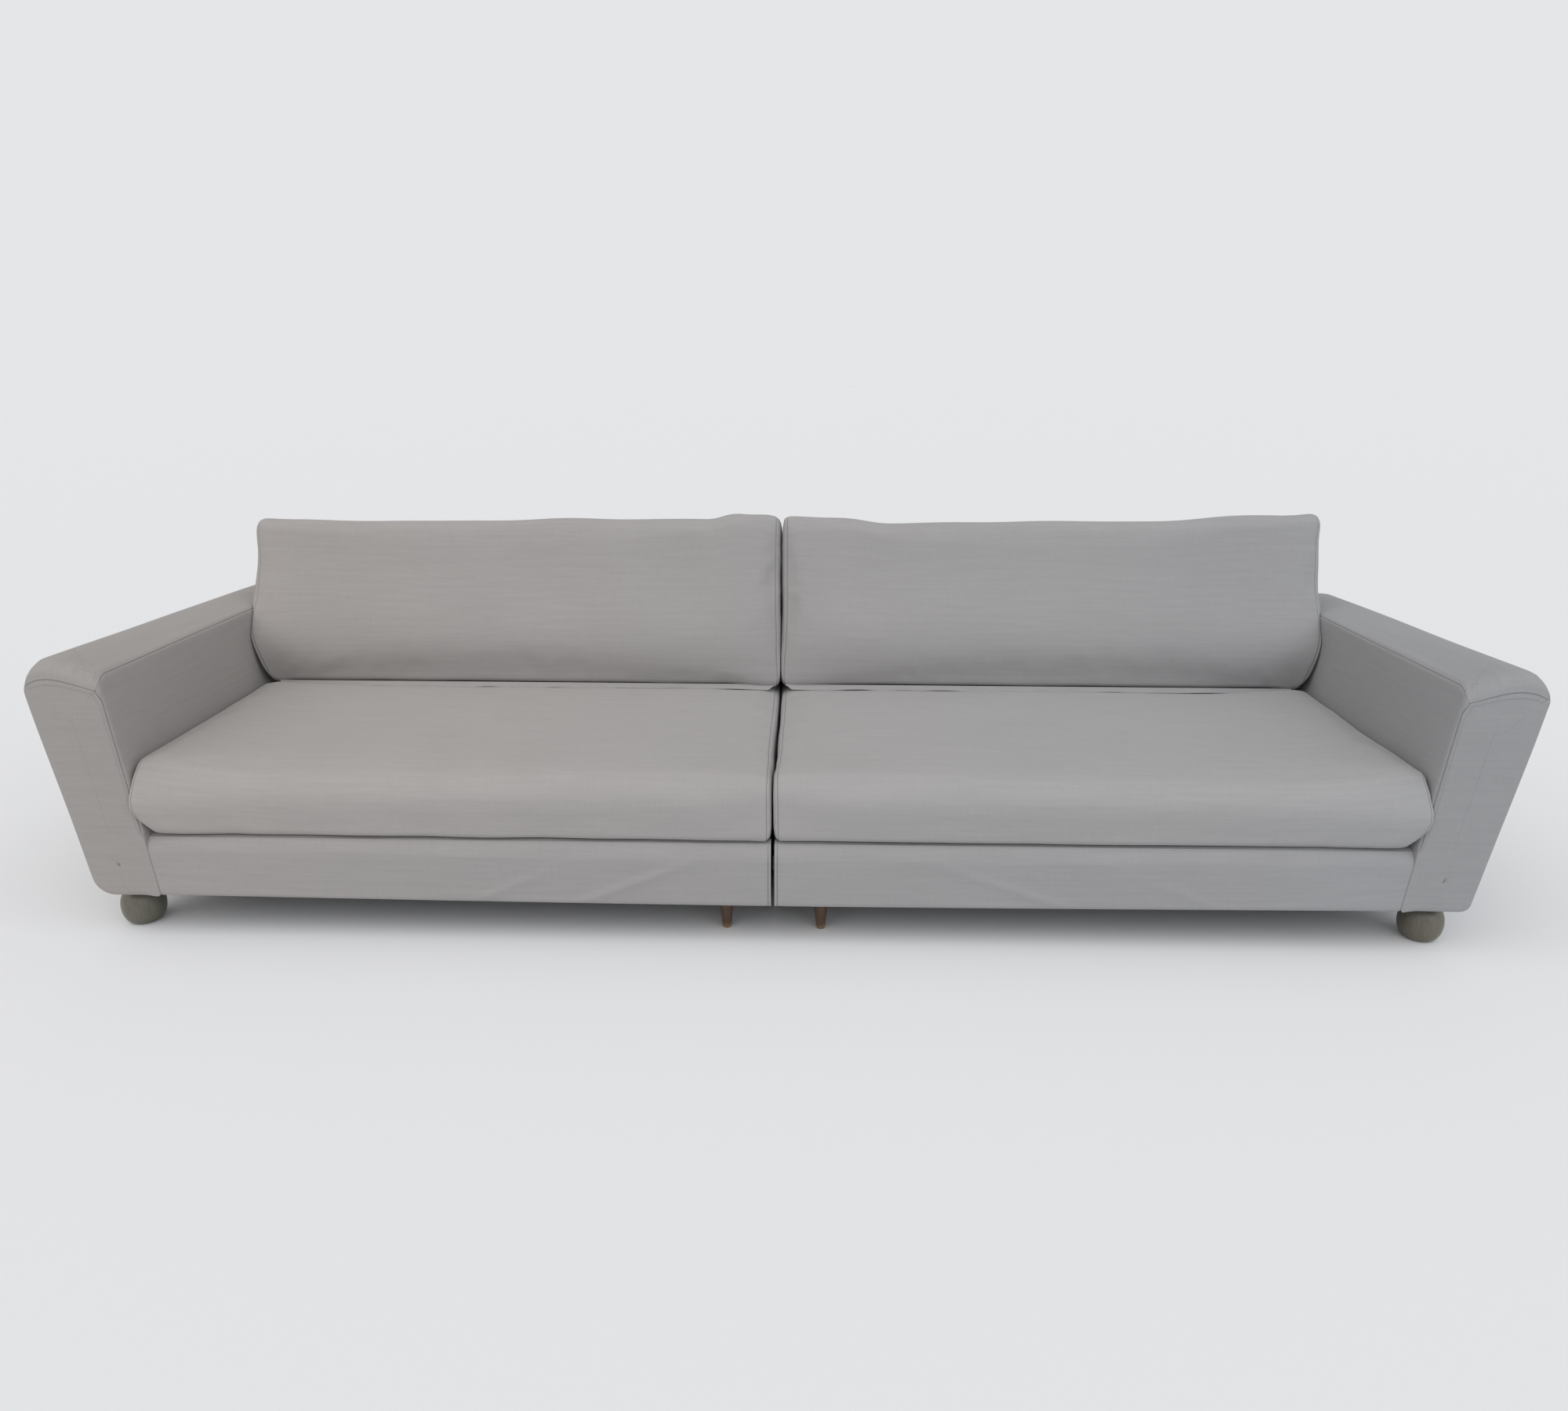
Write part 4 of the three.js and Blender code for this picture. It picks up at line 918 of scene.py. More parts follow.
def rail_parts(side, seed):
    """The rail's cloth between the mating end and the arm, with seams and drag folds in front."""
    count = int((rail_high.z - rail_low.z + 2 * (rail_high.y - rail_low.y)) / rail_step * 1.5)
    radii = np.array([rail_edge_radius, least_radius, least_radius, rail_top_radius])
    outer, around = open_outline(rail_rectangle(rail_low.y, rail_low.z, rail_high.z), radii, count, 2, 1)
    inner, _ = open_outline(
        rail_rectangle(rail_low.y + rail_padding, rail_low.z + rail_wrap, rail_high.z - rail_wrap),
        np.full(4, least_radius), count, 2, 1)
    length = inner_x(rail_low.z) - clearance - rail_low.x
    walk = spaced(length, rail_step, (rail_seam_from_end,))
    end = inner_x(outer[:, 1]) - clearance
    x = rail_low.x + (walk / length)[:, None] * (end - rail_low.x)
    points = carried(outer, x)
    sign = -1.0 if side == "left" else 1.0
    facing = 1 - smooth_at(outer[:, 0], rail_low.y, rail_face_depth)
    held = smooth(end - x, *rail_end_fade) * smooth_at(outer[:, 1], rail_low.z, rail_foot_fade)
    held = held * (1 - smooth_at(outer[:, 1], rail_high.z, rail_top_fade))
    push = drag_relief(sign * x, outer[:, 1], drag_folds[side])
    push = push + rail_wave * waves(points, rail_wave_length, 6, seed)
    front_share = smooth(rail_low.y + rail_padding - outer[:, 0], 0.0, rail_padding)
    points[..., 2] -= rail_hang * (1 - (walk / length) ** 1.5)[:, None] * front_share
    away = spread((walk - rail_seam_from_end)[:, None], x.shape)
    along = spread(around, x.shape)
    points[..., 1] -= facing * (held * push + seam_relief(away, along))
    return [shell_part(points, carried(inner, x), walk, around, (-np.abs(away), along))]


dress_both("front_rail_linen", rail_parts, 21, "{}_half", ["front_rail_cover"], 50)

# %% Low back covers
back_top_thickness = 0.100
back_front_lean = 0.084
back_top_radius = 0.014
back_bottom_radius = 0.006
back_step = 0.010
back_mate_x = 0.0012
back_hidden_depth = (0.02, 0.05)
back_foot_fade = (0.0, 0.03)
back_wave, back_wave_length, back_wave_highest = 0.0009, 0.3, 0.0003
rail_behind_y = round(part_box("rear_rail_right")[1].y, 5) + clearance


def back_front_y(z):
    """Where the low back's front face stands at a height."""
    return rear_top_y - back_top_thickness - (arm_height - z) * back_front_lean / body_height


def back_corners():
    """Corners of the low back's section: front bottom, rear bottom, rear top, front top."""
    return np.array([[back_front_y(floor_gap), floor_gap], [rear_bottom_y, floor_gap],
                     [rear_top_y, arm_height], [back_front_y(arm_height), arm_height]])


def behind_the_seat(section):
    """The section kept behind the rear rail below the seat, and above the deck in front of it."""
    y, z = section[:, 0], section[:, 1]
    low = z < rail_top - 0.002
    y = np.where(low, np.maximum(y, rail_behind_y), y)
    return np.stack([y, np.where(y < rail_behind_y, np.maximum(z, rail_top), z)], -1)


def back_parts(_, seed):
    """The low back's cloth from under the rear rail, up the rear, over the top, down to the seat.
    Both halves have the same form, so the side isn't used."""
    radii = np.array([least_radius, back_bottom_radius, back_top_radius, back_top_radius])
    outline = rounded_outlines(back_corners(), radii, np.zeros(()))
    hollow = rounded_outlines(back_corners(), radii - cover_thickness, np.full((), cover_thickness))
    walk_round = walked(outline)
    seam_at = corner_walk(walk_round, 2)
    bottom = rail_behind_y - back_front_y(floor_gap) - least_radius
    seat_part = (rail_top - floor_gap) * math.hypot(1, back_front_lean / body_height)
    around = spaced(walk_round[-1] - seat_part - bottom, back_step, (seam_at,), bottom)
    outer = behind_the_seat(sample(outline, walk_round, around))
    inner = behind_the_seat(sample(hollow, walk_round, around))
    length = inner_x(arm_height) - back_mate_x
    walk = spaced(length, back_step)
    reach = lambda section: back_mate_x + (walk / length)[:, None] * (
        inner_x(section[:, 1]) - clearance - back_mate_x)
    points = carried(outer, reach(outer))
    shape = points.shape[:2]
    away, along = spread(around - seam_at, shape), spread(walk[:, None], shape)
    behind = smooth(points[..., 1] - back_front_y(points[..., 2]), *back_hidden_depth)
    behind = behind * smooth_at(points[..., 2], floor_gap, back_foot_fade)
    uneven = back_wave * (waves(points, back_wave_length, 7, seed) - 0.8)
    uneven = np.minimum(uneven, back_wave_highest) * behind
    moved = points + grid_normals(points, False) * (seam_relief(away, along) + uneven)[..., None]
    return [shell_part(moved, carried(inner, reach(inner)), walk, around, (-np.abs(away), along))]


dress_both("low_back_linen", back_parts, 31, "{}_half", ["back_cover"], 50)

# %% [markdown]
# ## The cushions
# A seat cushion is one foam block in wadding, in a cover whose front, top, rear and bottom are one
# panel and whose two ends are panels of their own. A cube with a bevel would look like a brick:
# a real one swells in the middle, its lower corners are drawn up, and its cover strains a little
# round the foam. So the form is worked out first, with its crown and its drawn-in corners. Then
# the cover is simulated as cloth blown up from inside, on a coarse grid. What the cloth did is
# carried over to a fine grid, where the seams are put in at their real width.

# %% Cushion forms
mate_gap = 0.0015
deck_top = rail_top - clearance
seat_front_height = 0.142
seat_rear_height = 0.158
seat_bulge = 0.003
seat_rear_gap = 0.012
seat_side_gap = 0.0012
seat_front_sag = 0.0090
mate_press = 0.007
seat_over_rail = 0.0035
back_height = 0.441
back_bottom_depth = 0.190
back_top_depth = 0.126
back_top_drop = 0.026
back_side_press = 0.003
seat_bottom = round(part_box("seat_cushion_cover_right")[0].z, 4)
back_bottom = round(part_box("back_cushion_cover_right")[0].z, 4)
seat_front = round(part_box("seat_cushion_cover_right")[0].y, 4) + seat_bulge
seat_rear = back_front_y(deck_top) - seat_rear_gap
back_rest_top = back_bottom + back_height
back_front = back_front_y(back_bottom) - back_bottom_depth
back_front_top = back_front_y(back_rest_top) - back_top_depth

seat_form = {
    "ends": (mate_gap - mate_press, inner_x(deck_top + seat_rear_height / 2) - seat_side_gap),
    "corners": np.array([[seat_front, seat_bottom - seat_front_sag], [seat_rear, seat_bottom],
                         [seat_rear, seat_bottom + seat_rear_height],
                         [seat_front, seat_bottom + seat_front_height]]),
    "radii": np.array([0.023, 0.032, 0.032, 0.044]),
    "end_radii": (0.015, 0.012),
    "end_corners": np.array([0.030, 0.036, 0.032, 0.042]),
    "tucks": ((0.030, np.array([0.008, 0.006, -0.004, -0.004])),
              (0.030, np.array([0.012, 0.012, 0.0, 0.0]))),
    "drawn": ((0.80, np.array([0.0165, 0.0, 0.0, 0.0])), (0.30, np.array([0.0, 0.0, 0.021, 0.034]))),
    "lean": inner_slope * seat_rear_height / 2,
    "crown": 0.010,
    "bulge": 0.007,
    "bulge_height_share": 0.6,
    "bulge_at_end_share": 2.7,
    "side": (0.020, 0.93),
    "cap": 0.072,
}
back_form = {
    "ends": (mate_gap - mate_press, inner_top_x + back_side_press),
    "corners": np.array([[back_front, back_bottom],
                         [back_front_y(back_bottom) - 2 * clearance, back_bottom],
                         [back_front_y(back_rest_top - back_top_drop) - 2 * clearance,
                          back_rest_top - back_top_drop],
                         [back_front_top, back_rest_top]]),
    "radii": np.array([0.015, 0.030, 0.042, 0.036]),
    "end_radii": (0.017, 0.019),
    "end_corners": np.array([0.040, 0.036, 0.038, 0.034]),
    "tucks": ((0.040, np.array([0.014, 0.010, -0.004, -0.006])),
              (0.050, np.array([0.040, 0.028, -0.002, 0.0]))),
    "drawn": (),
    "lean": 0.020,
    "crown": 0.005,
    "bulge": 0.030,
    "bulge_height_share": 0.33,
    "bulge_at_end_share": 1.67,
    "side": (0.010, -1.2),
    "cap": 0.064,
}


def form_walks(form):
    """How long the walk along a cushion is, and its outline with the walk round it."""
    outline = rounded_outlines(form["corners"], form["radii"], np.zeros(()))
    return run_length(*form["ends"], form["end_radii"], form["cap"]), outline, walked(outline)


def crown_share(form, y, z):
    """How much of the front's bulge a point takes. Up the front it is (t / h)^(6h) times
    ((1 - t) / (1 - h))^(6 - 6h), which is 1 at the height share h, and it dies away behind."""
    (y0, z0), (y1, _), (y2, _), (y3, z3) = form["corners"]
    up, height = np.clip((z - z0) / (z3 - z0), 0, 1), form["bulge_height_share"]
    front, rear = y0 + (y3 - y0) * up, y1 + (y2 - y1) * up
    low = (up / height) ** (6 * height)
    high = ((1 - up) / (1 - height)) ** (6 - 6 * height)
    return low * high * np.clip(1 - 2 * (y - front) / (rear - front), 0, 1)


def cushion_surface(form, walk, around):
    """A cushion's form: its outline carried along X. Near each end the corners are tucked in along
    a circle and become rounder, and the arm draws them up by the square of how near it is. The top
    swells by crown * (1 - |2a - 1|^8) * (1 - y^4), where a is the share of the length and y the
    share of the depth, and so does the front by its bulge, which stays full at the arm."""
    _, _, walk_round = form_walks(form)
    inner, outer = form["ends"]
    place, rounding, shrink = rings_along(inner, outer, form["end_radii"], form["cap"], walk)
    corners = np.repeat(form["corners"][None], len(walk), 0)
    for far, (reach, tuck) in zip((place - inner, outer - place), form["tucks"]):
        short = np.clip(1 - far / reach, 0, 1)
        corners[..., 1] += (1 - np.sqrt(1 - short ** 2))[:, None] * tuck
    for reach, rise in form["drawn"]:
        corners[..., 1] += (np.clip(1 - (outer - place) / reach, 0, 1) ** 2)[:, None] * rise
    near = (rounding / np.array(form["end_radii"])[:, None]).sum(0)[:, None]
    radii = form["radii"] * (1 - near) + form["end_corners"] * near
    outlines = rounded_outlines(corners, radii, rounding.sum(0))
    outlines = shrunk(sample(outlines, walk_round, around), shrink, corners)
    middle, half = (form["corners"].max(0) + form["corners"].min(0)) / 2, np.ptp(form["corners"], 0) / 2
    y, z = np.moveaxis((outlines - middle) / half, -1, 0)
    share = ((place - inner) / (outer - inner))[:, None]
    swell = 1 - np.abs(2 * share - 1) ** 8
    rise = form["crown"] * swell * (1 - y ** 4) * np.maximum(z, 0)
    fuller = np.where(share > 0.5, 1 + (form["bulge_at_end_share"] - 1) * (2 * share - 1) ** 6, swell)
    bulge = form["bulge"] * fuller * crown_share(form, outlines[..., 0], outlines[..., 1])
    side, front_share = form["side"]
    side = side * share ** 14 * smooth(-y, front_share, front_share + 0.07)
    side = side * np.maximum(1 - z ** 2, 0) * smooth(z, -0.8, -0.1)
    return np.stack([place[:, None] + share * form["lean"] * z + side, outlines[..., 0] - bulge,
                     outlines[..., 1] + rise], -1)


for form, node in ((seat_form, "seat_cushion_cover_right"), (back_form, "back_cushion_cover_right")):
    length, _, walk_round = form_walks(form)
    shape = cushion_surface(form, spaced(length, 0.05), spaced(walk_round[-1], 0.05)[:-1])
    print(node, "form", shape.min((0, 1)).round(4), shape.max((0, 1)).round(4))

# %% Cloth blown up from inside
sim_step = 0.020
sim_frames = 20
sim_pressure = 1.2
sim_slack = -0.012
sim_cap = 0.009
sim_start_wave, sim_start_wave_length = 0.0015, 0.09
cloth_settings = {
    "quality": 6, "mass": 0.3, "tension_stiffness": 20, "compression_stiffness": 20,
    "shear_stiffness": 8, "bending_stiffness": 0.6, "use_pressure": True,
    "uniform_pressure_force": sim_pressure, "shrink_min": sim_slack,
}


def cubic(values, at, closed):
    """Values at fractional places along the first axis, by the cubic through four neighbours."""
    base = np.floor(at).astype(int)
    t = (at - base).reshape((-1,) + (1,) * (values.ndim - 1))
    steps = [base + step for step in (-1, 0, 1, 2)]
    a, b, c, d = (values[step % len(values) if closed else np.clip(step, 0, len(values) - 1)]
                  for step in steps)
    return b + t / 2 * (c - a + t * (2 * a - 5 * b + 4 * c - d + t * (3 * (b - c) + d - a)))


def blown_up(form, seed):
    """How far cloth under pressure moves each point of a coarse grid over a cushion's form."""
    length, _, walk_round = form_walks(form)
    walk, around = spaced(length, sim_step), spaced(walk_round[-1], sim_step)[:-1]
    grid = cushion_surface(form, walk, around)
    part = welded(grid_part(grid, walk, around, True, walk_round[-1]))
    ripple = sim_start_wave * waves(part["points"], sim_start_wave_length, 9, seed)[:, None]
    start = part["points"] + ripple * unit(part["points"] - part["points"].mean(0))
    piece = add_mesh("cloth_trial", [{**part, "points": start}])
    cloth = piece.modifiers.new("cloth", "CLOTH")
    for key, value in cloth_settings.items():
        setattr(cloth.settings, key, value)
    cloth.settings.effector_weights.gravity = 0
    cloth.point_cache.frame_end = sim_frames
    for number in range(1, sim_frames + 1):
        scene.frame_set(number)
    result = piece.evaluated_get(bpy.context.evaluated_depsgraph_get()).data
    moved = np.empty(len(start) * 3)
    result.vertices.foreach_get("co", moved)
    push = moved.reshape(-1, 3) - part["points"]
    far = np.linalg.norm(push, axis=1, keepdims=True)
    push = push * np.tanh(far / sim_cap) * sim_cap / np.maximum(far, 1e-9)
    bpy.data.objects.remove(piece)
    scene.frame_set(1)
    return walk, around, push[part["number"]].reshape(grid.shape)


def carried_over(form, trial, walk, around):
    """What the cloth did on the coarse grid, on the points of the fine one."""
    _, _, walk_round = form_walks(form)
    coarse_walk, coarse_around, push = trial
    rows = np.interp(walk, coarse_walk, np.arange(len(coarse_walk)))
    columns = np.interp(around, np.append(coarse_around, walk_round[-1]), np.arange(len(coarse_around) + 1))
    return np.swapaxes(cubic(np.swapaxes(cubic(push, rows, False), 0, 1), columns, True), 0, 1)


print("cloth: cells", sim_step * 1000, "mm wide, moves up to", sim_cap * 1000, "mm")

# %% Cushion skins
cushion_step = 0.010
cushion_wave = 0.0012
cushion_wave_length = 0.26
before_edge_room = 0.02
before_arm = 0.0005
above_arm_room = 0.05
above_arm_fade = (-0.004, 0.03)
seat_arm_gap, back_arm_gap = 0.0008, 0.001
seat_over_rail_fade = (0.035, 0.070)
under_back_fade = (-0.03, 0.01)
seat_rear_room = 0.002
seam_arc_share = 0.8


def cushion_parts(form, seed, settle, long_seam=None):
    """A cushion's skin: its form, what the cloth did, seams round both ends, one along it where
    long_seam gives its place, and soft waves. settle keeps it clear of what it lies on."""
    length, _, walk_round = form_walks(form)
    first, last = (form["cap"] + radius * quarter * seam_arc_share for radius in form["end_radii"])
    walk = spaced(length, cushion_step, (first, length - last))
    around = spaced(walk_round[-1], cushion_step, () if long_seam is None else (long_seam,))[:-1]
    form_points = points = cushion_surface(form, walk, around)
    points = points + carried_over(form, blown_up(form, seed), walk, around)
    shape = points.shape[:2]
    ends = np.minimum(np.abs(walk - first), np.abs(walk - length + last))[:, None]
    seams = [(spread(ends, shape), spread(around, shape))]
    if long_seam is not None:
        between = ((walk > first) & (walk < length - last))[:, None]
        seams.append((np.where(between, np.abs(around - long_seam), 1.0), spread(walk[:, None], shape)))
    relief = sum(seam_relief(*seam) for seam in seams)
    relief = relief + cushion_wave * waves(points, cushion_wave_length, 8, seed)
    tilt = form["lean"] / (np.ptp(form["corners"][:, 1]) / 2)
    normals = flat_ends(grid_normals(points), walk, form["cap"], (-1, 0, 0), (1, 0, -tilt))
    moved = settle(together(form_points, points + normals * relief[..., None]))
    away, along = nearest_seam(*seams)
    panel = (walk < first + hair) | (walk > length - last - hair)
    return [grid_part(moved, walk, around, True, walk_round[-1], (-away, along),
                      (panel, points[..., [1, 2]]))]


def arm_room(y, z):
    """How far out the arm's inner face lets a cushion reach: less the arm's round front edge, more
    in the dent that the back cushion has pressed, and free above the arm."""
    behind_face = np.clip(y - front_y, 0, arm_face_radius)
    edge = edge_drop(behind_face, arm_face_radius) + before_edge_room * (y < front_y - before_arm)
    room = arm_padding(np.stack([inner_x(z), y, z], -1), "right")[..., 0] + edge
    return room + above_arm_room * smooth_at(z, arm_height, above_arm_fade)


def settled(points, low_z, arm_gap):
    """Points kept off the middle between the halves, off the arm and above what they lie on."""
    x, y, z = np.moveaxis(points, -1, 0)
    x = np.maximum(np.minimum(x, arm_room(y, z) - arm_gap), mate_gap * 0.7)
    return np.stack([x, y, np.maximum(z, low_z)], -1)


def seat_settle(points):
    """The seat cushion kept above the deck, in front of the low back and under the back cushion."""
    from_front = points[..., 1] - rail_low.y
    over_edge = edge_drop(from_front, rail_under_cushion_radius) + before_edge_room * (from_front < 0)
    over_edge = over_edge - seat_over_rail * (1 - smooth(from_front, *seat_over_rail_fade))
    points = settled(points, seat_bottom - over_edge, seat_arm_gap)
    x, y, z = np.moveaxis(points, -1, 0)
    under = smooth_at(y, back_front, under_back_fade)
    z = z - under * np.maximum(z - (back_bottom - 2 * clearance), 0)
    return np.stack([x, np.minimum(y, seat_rear + seat_rear_room), z], -1)


def seat_parts(_, seed):
    """A seat cushion, with its zip's seam halfway up the rear. Both have the same form."""
    walk_round = form_walks(seat_form)[2]
    zip_walk = (corner_walk(walk_round, 1) + corner_walk(walk_round, 2)) / 2
    return cushion_parts(seat_form, seed, seat_settle, zip_walk)


dress_both("seat_cushion_linen", seat_parts, 41, "seat_cushion_{}",
           ["seat_cushion_cover", "seat_cushion_core"])

# %% [markdown]
# ## The back cushions
# They are made like the seat cushions, but stand on them and lean on the low back, so they are
# thicker at the bottom and bulge to the front. Their filling has settled: the left one is pushed
# up next to the middle, and the top of the right one hangs a little between its ends.

# %% Back cushions
top_lines = {
    "left": ((0.085, 0.085, 0.020), (0.40, 0.34, 0.009)),
    "right": ((0.10, 0.14, 0.016), (0.85, 0.42, 0.009), (1.42, 0.30, 0.025)),
}


zip_groove_x = (0.07, 0.10, 1.345, 1.372)
top_line_reach = 0.03
back_wall_fade = (0.0, 0.03)
zip_room = 0.0015
zip_groove_depth = 0.012
zip_groove_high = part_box("back_zip_slider_right")[1]


def zip_groove(x, y):
    """How far the cushion's lower front edge is drawn up over the zip, under the flap."""
    along = smooth(x, *zip_groove_x[:2]) * (1 - smooth(x, *zip_groove_x[2:]))
    depth = 1 - smooth(y, zip_groove_high.y + zip_room, zip_groove_high.y + zip_groove_depth)
    return (zip_groove_high.z + zip_room - back_bottom) * along * depth


def back_settle_for(side):
    """What settles a back cushion: its top line, the seat under it and the low back behind it."""
    def settle(points):
        """Points raised to the top line, then kept out of what is under, beside and behind them."""
        x, y, z = np.moveaxis(points, -1, 0)
        near_top = smooth(z, back_bottom + back_height / 2, back_rest_top - top_line_reach)
        for middle, width, height in top_lines[side]:
            z = z + near_top * height * np.exp(-((x - middle) / width) ** 4)
        points = settled(np.stack([x, y, z], -1), back_bottom + zip_groove(x, y), back_arm_gap)
        x, y, z = np.moveaxis(points, -1, 0)
        wall = back_front_y(np.minimum(z, arm_height)) - clearance
        above = smooth_at(z, arm_height, back_wall_fade)
        y = np.where(y > wall, wall + (y - wall) * above, y)
        return np.stack([x, y, z], -1)
    return settle


def back_cushion_parts(side, seed):
    """A back cushion: each side has a top line of its own."""
    return cushion_parts(back_form, seed, back_settle_for(side))


dress_both("back_cushion_linen", back_cushion_parts, 51, "back_cushion_{}",
           ["back_cushion_cover", "back_cushion_core"])

# %% [markdown]
# ## The zip flaps
# A flap of doubled linen hangs over the zip along the lower front edge of each back cushion. It is
# cut a little longer than what it covers, so it waves. A thin closed strip, carried along the
# cushion with waves that grow towards its free edge, gives it the right thickness and shadow.

# %% Zip flaps
flap_from_ends = (0.020, 0.060)
flap_root_height = 0.016
flap_edge_height = 0.0035
flap_root_depth = 0.001
flap_lip = 0.0035
flap_thickness = 0.0028
flap_sides = 9
flap_step = 0.004
flap_wave = {"length": 0.055, "out": 0.0022, "up": 0.0012}
back_lean = (back_front_top - back_front) / back_height


def flap_parts(seed):
    """The flap: from root to edge it runs down the cushion's front plane, waving out of it by a
    share of the way squared, and its section is a loop round that line."""
    start, stop = back_form["ends"][0] + flap_from_ends[0], back_form["ends"][1] - flap_from_ends[1]
    walk = spaced(stop - start, flap_step)
    x = start + walk
    line = np.stack([x, np.zeros_like(x), np.zeros_like(x)], -1)
    fold = waves(line, flap_wave["length"], 8, seed) * (0.6 + 0.4 * waves(line, 0.4, 4, seed + 5))
    lift = waves(line, flap_wave["length"] * 2, 6, seed + 9)
    down = np.concatenate([np.linspace(0, 1, flap_sides), np.linspace(1, 0, flap_sides)])
    offset = np.repeat([1.0, -1.0], flap_sides) * flap_thickness / 2
    offset = offset * np.sqrt(np.maximum(1 - np.maximum((down - 0.8) / 0.2, 0) ** 2, 0.04))
    ends = np.minimum(walk, walk[-1] - walk)
    taper = smooth(ends, 0, 0.02)[:, None]
    height = flap_root_height + (flap_edge_height + flap_wave["up"] * lift[:, None] * taper
                                 - flap_root_height) * (0.25 + 0.75 * taper) * down
    out = (flap_lip + flap_wave["out"] * (1 + fold[:, None])) * taper * down ** 1.5
    plane = back_front + height * back_lean + flap_root_depth * (1 - down) ** 1.5
    y = plane - out - offset * (0.3 + 0.7 * taper)
    points = np.stack([spread(x[:, None], y.shape), y, back_bottom + height], -1)
    points = np.concatenate([points[:1].mean(1, keepdims=True).repeat(points.shape[1], 1), points,
                             points[-1:].mean(1, keepdims=True).repeat(points.shape[1], 1)])
    walk = np.concatenate([[0], walk, walk[-1:]])
    return [grid_part(points, walk, down * flap_root_height, True, 0.0)]


for seed, side in enumerate(("left", "right")):
    flap = dress("zip_flap", flap_parts(61 + seed), side, "back_cushion_" + side, linen)
    print(flap.name, len(flap.data.polygons), "triangles")

# %% [markdown]
# ## What lies inside and under
# Lift a cushion and the platform cloth shows, stretched over the springs, so it dips a little
# between them. Under the seat a black dust cover is stapled round the edge and to the board that
# carries the pegs, and a black lining closes the side where the halves meet. All three are thin,
# so each is one sheet of points, given its thickness by a second sheet and a rim.

# %% Inner cloths
cloth_step = 0.012
deck_low, deck_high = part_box("seat_deck_right")
springs_low, springs_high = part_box("seat_springs_right")
dust_low, dust_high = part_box("dust_cover_right")
board_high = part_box("leg_board_right")[1]
lining_low, lining_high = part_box("end_lining_right")
spring_count = 6
deck_dip = 0.0022
deck_edge_radius = 0.005
dust_sag = 0.004
dust_thickness = 0.0006
lining_wave = 0.0004


def lying_grid(low, high, step=cloth_step):
    """X and Y of a lying sheet's points, its two walks, and how far each point is from the edge."""
    walks = [spaced(high[axis] - low[axis], step) for axis in range(2)]
    x, y = np.meshgrid(low[0] + walks[0], low[1] + walks[1], indexing="ij")
    edge = np.minimum.reduce([x - low[0], high[0] - x, y - low[1], high[1] - y])
    return x, y, walks, edge


def deck_parts(seed):
    """Platform cloth over felt: it lies high over each spring and dips by a cosine between them."""
    x, y, walks, edge = lying_grid(deck_low, deck_high)
    pitch = (springs_high.x - springs_low.x) / spring_count
    dip = deck_dip * (0.5 - 0.5 * np.cos(2 * np.pi * (x - springs_low.x) / pitch))
    dip = dip * smooth(edge, 0.02, 0.09)
    flat = np.stack([x, y, np.zeros_like(x)], -1)
    uneven = 0.0005 * (waves(flat, 0.11, 8, seed) - 1) * smooth(edge, 0, 0.03)
    top = deck_high.z - edge_drop(edge, deck_edge_radius) - dip + np.minimum(uneven, 0)
    under = np.stack([x, y, np.full_like(x, deck_low.z)], -1)
    return [shell_part(np.stack([x, y, top], -1), under, *walks)]


def dust_parts(seed):
    """The dust cover: flat where it is stapled, sagging by a sine of both directions between."""
    x, y, walks, _ = lying_grid(dust_low, dust_high)
    bay = np.clip((x - board_high.x) / (dust_high.x - board_high.x), 0, 1)
    across = (y - dust_low.y) / (dust_high.y - dust_low.y)
    sag = np.sin(np.pi * bay) ** 0.7 * np.sin(np.pi * across) ** 0.7
    flat = np.stack([x, y, np.zeros_like(x)], -1)
    low = dust_high.z - dust_thickness - dust_sag * sag * (1 + 0.12 * waves(flat, 0.2, 6, seed))
    return [shell_part(np.stack([x, y, low], -1), np.stack([x, y, low + dust_thickness], -1), *walks)]


def lining_parts(seed):
    """The lining is an L. Its points run along it from the front to the top, and across it from
    the outer line, the bottom and the rear, to the inner line, the deck and the back's front."""
    outer = np.array([[lining_low.y, floor_gap], [rear_bottom_y, floor_gap], [rear_top_y, arm_height]])
    inner = np.array([[lining_low.y, rail_top], [back_front_y(rail_top), rail_top],
                      [back_front_y(arm_height), arm_height]])
    knee = rear_bottom_y - lining_low.y
    walk = spaced(knee + body_height, cloth_step, (knee,))
    lines = [np.stack([np.interp(walk, [0, knee, walk[-1]], line[:, axis]) for axis in range(2)], -1)
             for line in (outer, inner)]
    across = np.linspace(0, 1, 13)
    section = lines[0][:, None] + (lines[1] - lines[0])[:, None] * across[None, :, None]
    y, z = section[..., 0], np.clip(section[..., 1], lining_low.z, lining_high.z)
    y = np.clip(y, lining_low.y, lining_high.y)
    held = smooth(walk, 0, 0.03) * smooth(walk[-1] - walk, 0, 0.03)
    held = held[:, None] * (4 * across * (1 - across))[None]
    flat = np.stack([np.zeros_like(y), y, z], -1)
    x = lining_low.x + lining_wave * (1 + waves(flat, 0.13, 7, seed)).clip(0, 2) * held
    return [shell_part(np.stack([x, y, z], -1), np.stack([np.full_like(x, lining_high.x), y, z], -1),
                       walk, across * (rail_top - floor_gap))]


# %% [markdown]
# ## The finishes of what is inside
# Bare timber, plywood, springs and hooks show only when the sofa is turned over or taken apart,
# but then they are close to the eye. Wood could be one stretched noise, yet real grain bends
# round a log's rings, so rings are drawn round an axis along the board and then disturbed.

